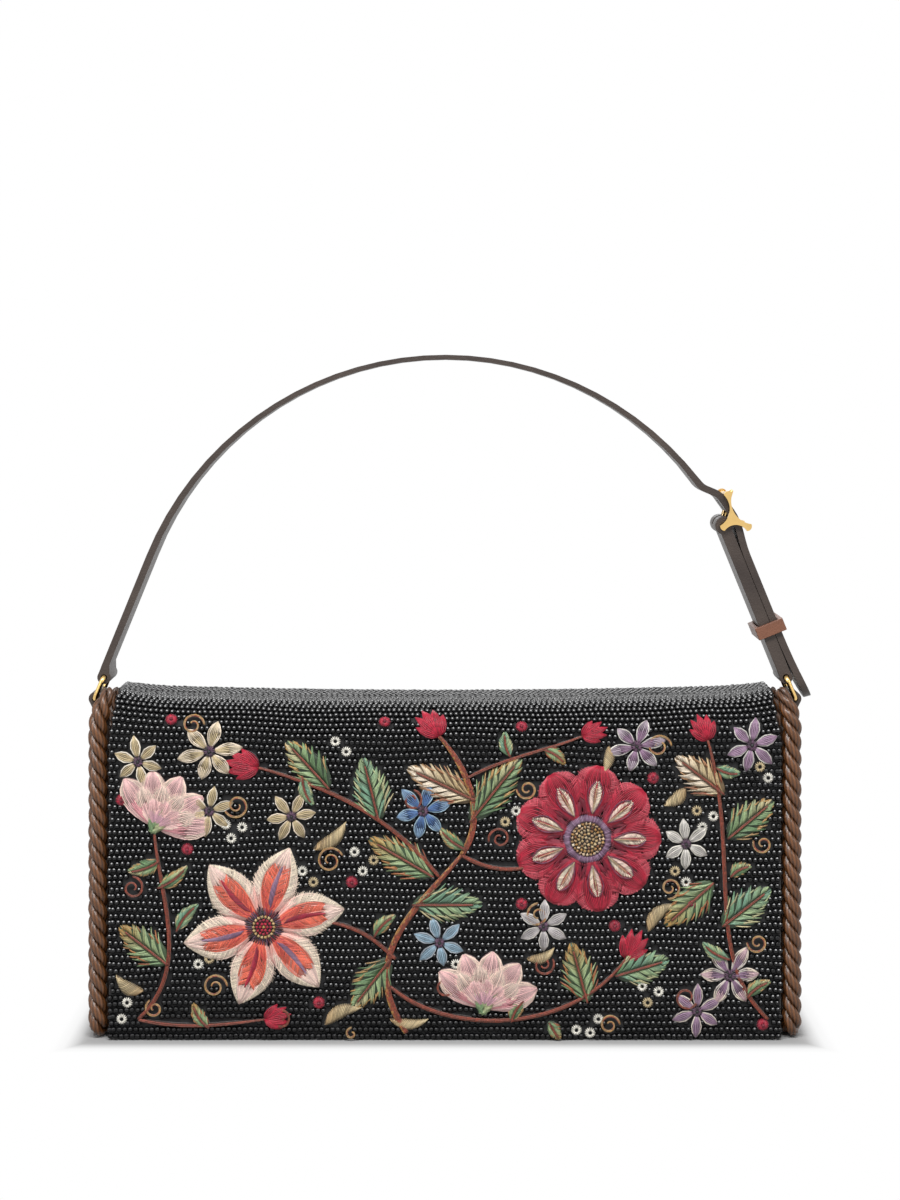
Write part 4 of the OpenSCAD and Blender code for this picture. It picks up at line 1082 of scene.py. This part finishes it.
def gussetPiece(name, cadNode, side):
    # a cushion-like slab: the outer face swells between its edges, with a soft crease down its middle
    v = np.linspace(0, 1, 70)[:, None]
    p = np.linspace(-1, 1, 40)[None, :]
    edge = np.clip(np.minimum(1 - np.abs(p), np.minimum(v, 1 - v) * 3.2) * 5, 0, 1) ** 0.5
    crease = gusset["dimple"] * np.exp(-((p / 0.16) ** 2)) * np.sin(np.pi * np.clip(v * 1.02, 0, 1)) ** 0.6
    folds = 0.22 * np.sin(v * 23 + 2 * p) * np.exp(-((np.abs(p) - 0.45) / 0.3) ** 2) * edge
    x = gusset["inner"] + 0.5 + (gusset["outer"] - gusset["inner"] - 0.5) * edge - crease * edge + folds
    y = p * gusset["halfDepth"] + 0 * v
    z = gusset["low"] + v * (gusset["top"] - gusset["low"] - gusset["dip"] * (1 - p**2))
    outer = np.stack(np.broadcast_arrays(x, y, z), -1)
    inner = outer.copy()
    inner[..., 0] = gusset["inner"] + 0.02
    points = np.concatenate([outer.reshape(-1, 3), inner.reshape(-1, 3)])
    rows, columns = outer.shape[:2]
    quads = gridFaces(rows, columns)
    n = rows * columns
    rim = np.concatenate([np.arange(columns), np.arange(1, rows) * columns + columns - 1,
                          (rows - 1) * columns + np.arange(columns - 2, -1, -1),
                          np.arange(rows - 2, 0, -1) * columns])
    nextRim = np.roll(rim, -1)
    wall = np.stack([rim, rim + n, nextRim + n, nextRim], -1)
    faces = [quads, quads[:, ::-1] + n, wall]
    points[:, 0] *= side
    if side < 0:
        faces = flipped(faces)
    piece = addMesh(name, points, faces, bodyLeather)
    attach(piece, "body")
    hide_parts(cadNode)


gussetPiece("gussetRight", "gusset_right", 1)
gussetPiece("gussetLeft", "gusset_left", -1)

# stitches in the leather

seams = {
    "pitch": 3.0, "stitch": 2.3, "radius": 0.22,
    "tabX": 129.9, "tabHalf": 6.4, "tabLow": 108.2, "tabTop": 116.6,
    "rimX": 118, "rimY": -17.5, "rimZ": 110.0,
    "pocketX": 63.6, "pocketY": 12.0, "pocketLow": 29.4, "pocketTop": 93.4,
}


def seamPiece(name, points, normals, body, colour):
    # even stitches along a line: each is a short thread that rises a little between its two holes
    points = np.asarray(points, float)
    span = np.concatenate([[0], np.cumsum(np.linalg.norm(np.diff(points, axis=0), axis=1))])
    starts = np.arange(0.4, span[-1] - seams["stitch"], seams["pitch"])
    u = starts[:, None] + np.linspace(0, seams["stitch"], 6)[None, :]
    path = np.stack([np.interp(u, span, points[:, k]) for k in range(3)], -1)
    normals = np.broadcast_to(np.asarray(normals, float), points.shape)
    up = unit(np.stack([np.interp(u, span, normals[:, k]) for k in range(3)], -1))
    arch = np.sin(np.linspace(0, np.pi, 6)) ** 0.6 * 0.26 - 0.12
    path = path + up * arch[None, :, None]
    verts, faces = tubes(path, np.full(path.shape[:2], seams["radius"]) * np.array([0.7, 1, 1, 1, 1, 0.7]),
                         6, up)
    piece = addMesh(name, verts, faces, silkThread, colours=np.tile(np.array(colour), (len(verts), 1)))
    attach(piece, body)


darkThread = linear(52, 40, 33)
half, low, top = seams["tabHalf"], seams["tabLow"], seams["tabTop"]
for side, word in ((1, "Right"), (-1, "Left")):
    corners = [(side * seams["tabX"], y, z) for y, z in
               ((-half, top), (-half, low), (half, low), (half, top), (-half, top))]
    seamPiece("tabStitches" + word, corners, (side, 0, 0), "tab_" + word.lower(), darkThread)
x, y, z = seams["rimX"], seams["rimY"], seams["rimZ"]
seamPiece("rimStitches", [(-x, y, z), (x, y, z)], (0, -1, 0), "body", darkThread)
x, y, low, top = seams["pocketX"], seams["pocketY"], seams["pocketLow"], seams["pocketTop"]
seamPiece("pocketStitches", [(-x, y, top), (-x, y, low), (x, y, low), (x, y, top)], (0, -1, 0), "body",
          linear(96, 60, 44))
print("seams stitched")

# finishes on the pieces that keep their CAD shape

finishOf = {
    "front_panel": bodyLeather, "back_board": fibreBoard, "front_board": fibreBoard,
    "base_board": fibreBoard, "lining": satinLining, "slip_pocket": satinLining,
    "snap_socket": goldPlate, "snap_socket_washer": washerSteel, "snap_stud": goldPlate,
    "snap_stud_washer": washerSteel, "tab_left": strapLeather, "tab_right": strapLeather,
    "ring_left": goldPlate, "ring_right": goldPlate, "strap": strapLeather, "chape": strapLeather,
    "buckle_frame": goldPlate, "buckle_prong": goldPlate, "keeper": keeperLeather,
}
edgeRound = {
    "strap": 0.45, "chape": 0.4, "keeper": 0.4, "tab_left": 0.35, "tab_right": 0.35,
    "buckle_frame": 0.3, "front_panel": 0.3, "snap_stud": 0.4, "snap_socket": 0.25, "slip_pocket": 0.2,
}
nodeObjects = {o["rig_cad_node"]: o for o in bpy.context.scene.objects if "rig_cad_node" in o}
for name, material in finishOf.items():
    piece = nodeObjects[name]
    piece.data.materials.clear()
    piece.data.materials.append(material)
    weld = piece.modifiers.new("weld", "WELD")
    weld.merge_threshold = 0.00001
    if name in edgeRound:
        bevel = piece.modifiers.new("edges", "BEVEL")
        bevel.width = edgeRound[name] * mm
        bevel.segments = 3
        bevel.limit_method = "ANGLE"
        bevel.angle_limit = math.radians(38)
        bevel.harden_normals = False
print("finishes put on")

# floor, lamps and camera

studio = {
    "cameraX": 1.85, "cameraY": -786.0, "cameraZ": 241.3, "lens": 62.73, "shiftY": -220 / 1200,
    "worldLight": 0.2,
    # the floor: half the bag's footprint, how far white fades in, and how white at each share of that;
    # where it is not white it is the grey matt of the painted shadow
    "footX": 0.1285, "footY": 0.0225, "fadeReach": 0.3,
    "fade": [(0.0, 0.0), (0.01, 0.04), (0.02, 0.5), (0.03, 0.88), (0.045, 1.0), (1.0, 1.0)],
    # each lamp: place in metres, size in metres, power in watts
    "lamps": {
        "lampKey": ((-0.06, -0.72, 0.92), (1.0, 0.18), 14.5),
        "lampTop": ((0.1, 0.15, 1.0), (0.6, 0.3), 1.0),
        "lampLeft": ((-0.85, -0.7, 0.5), (0.35, 0.6), 2.4),
        "lampRight": ((0.85, -0.75, 0.55), (0.35, 0.5), 2.0),
        "lampBack": ((0.0, 0.9, 0.7), (0.8, 0.25), 2.4),
    },
}
scene = bpy.context.scene
scene.view_settings.view_transform = "Standard"


def seenAsBackground(nodes, links):
    # 1 for rays from the camera, off gloss and through glass, else 0
    rays = nodes.new("ShaderNodeLightPath").outputs
    either = joined(nodes, links, "MAXIMUM", rays["Is Camera Ray"], rays["Is Glossy Ray"])
    return joined(nodes, links, "MAXIMUM", either, rays["Is Transmission Ray"])


def studioFloor(size):
    # a grey matt round the bag's footprint, which takes the bag's real shadow and is also painted shadow,
    # darker than the white around it; it passes into plain white away from the footprint
    material, nodes, links, shader = newMaterial("studioFloor")
    nodes.remove(shader)
    # painted shadow: the floor near the bag is a 0.4 grey, darker than the white beyond, on top of the real
    # shadow it takes
    paintedShadowMatt = node(nodes, "ShaderNodeBsdfDiffuse", Color=(0.4, 0.4, 0.4, 1))
    glow = node(nodes, "ShaderNodeEmission", Color=(1, 1, 1, 1), Strength=1.0)
    apart = pattern(nodes, links, "ShaderNodeSeparateXYZ")
    beyond = []
    for axis, half in (("X", studio["footX"]), ("Y", studio["footY"])):
        distance = node(nodes, "ShaderNodeMath", operation="ABSOLUTE")
        links.new(apart.outputs[axis], distance.inputs[0])
        over = node(nodes, "ShaderNodeMath", operation="SUBTRACT")
        links.new(distance.outputs["Value"], over.inputs[0])
        over.inputs[1].default_value = half
        beyond.append(over.outputs["Value"])
    farther = joined(nodes, links, "MAXIMUM", *beyond)
    fade = ramp(nodes, [(place, (white,) * 3) for place, white in studio["fade"]])
    spread(nodes, links, farther, 0.0, 1.0, fade.inputs["Fac"], (0.0, studio["fadeReach"]))
    share = joined(nodes, links, "MULTIPLY", seenAsBackground(nodes, links), fade.outputs["Color"])
    mixed = nodes.new("ShaderNodeMixShader")
    links.new(share, mixed.inputs["Fac"])
    links.new(paintedShadowMatt.outputs["BSDF"], mixed.inputs[1])
    links.new(glow.outputs["Emission"], mixed.inputs[2])
    links.new(mixed.outputs["Shader"], nodes["Material Output"].inputs["Surface"])
    corners = [(-size, -size, 0), (size, -size, 0), (size, size, 0), (-size, size, 0)]
    floor = addMesh("studioFloorPlane", corners, [np.array([[0, 1, 2, 3]])], material, smooth=False)


def studioWorld():
    # soft light all round, white where it is seen
    world = bpy.data.worlds.new("studioWorld")
    scene.world = world
    world.use_nodes = True
    nodes, links = world.node_tree.nodes, world.node_tree.links
    soft = nodes["Background"]
    soft.inputs["Strength"].default_value = studio["worldLight"]
    soft.inputs["Color"].default_value = (1, 1, 1, 1)
    white = node(nodes, "ShaderNodeBackground", Color=(1, 1, 1, 1), Strength=1.0)
    mixed = nodes.new("ShaderNodeMixShader")
    links.new(seenAsBackground(nodes, links), mixed.inputs["Fac"])
    links.new(soft.outputs["Background"], mixed.inputs[1])
    links.new(white.outputs["Background"], mixed.inputs[2])
    links.new(mixed.outputs["Shader"], nodes["World Output"].inputs["Surface"])


def softLamp(name, place, size, power):
    # a rectangle of light that looks at the bag's middle
    lamp = bpy.data.lights.new(name, "AREA")
    lamp.shape = "RECTANGLE"
    lamp.size, lamp.size_y = size
    lamp.energy = power
    made = bpy.data.objects.new(name, lamp)
    made.location = place
    made.rotation_euler = (Vector((0, 0, 0.1)) - Vector(place)).to_track_quat("-Z", "Y").to_euler()
    scene.collection.objects.link(made)


studioFloor(3000.0)
studioWorld()
for name, (place, size, power) in studio["lamps"].items():
    softLamp(name, place, size, power)
camera = bpy.data.cameras.new("camera")
camera.sensor_width = 36.0
camera.lens = studio["lens"]
camera.shift_y = studio["shiftY"]
camera.clip_start, camera.clip_end = 0.01, 20
cameraObject = bpy.data.objects.new("camera", camera)
cameraObject.location = (studio["cameraX"] * mm, studio["cameraY"] * mm, studio["cameraZ"] * mm)
cameraObject.rotation_euler = (math.radians(90), 0, 0)
scene.collection.objects.link(cameraObject)
scene.camera = cameraObject
print("studio set")
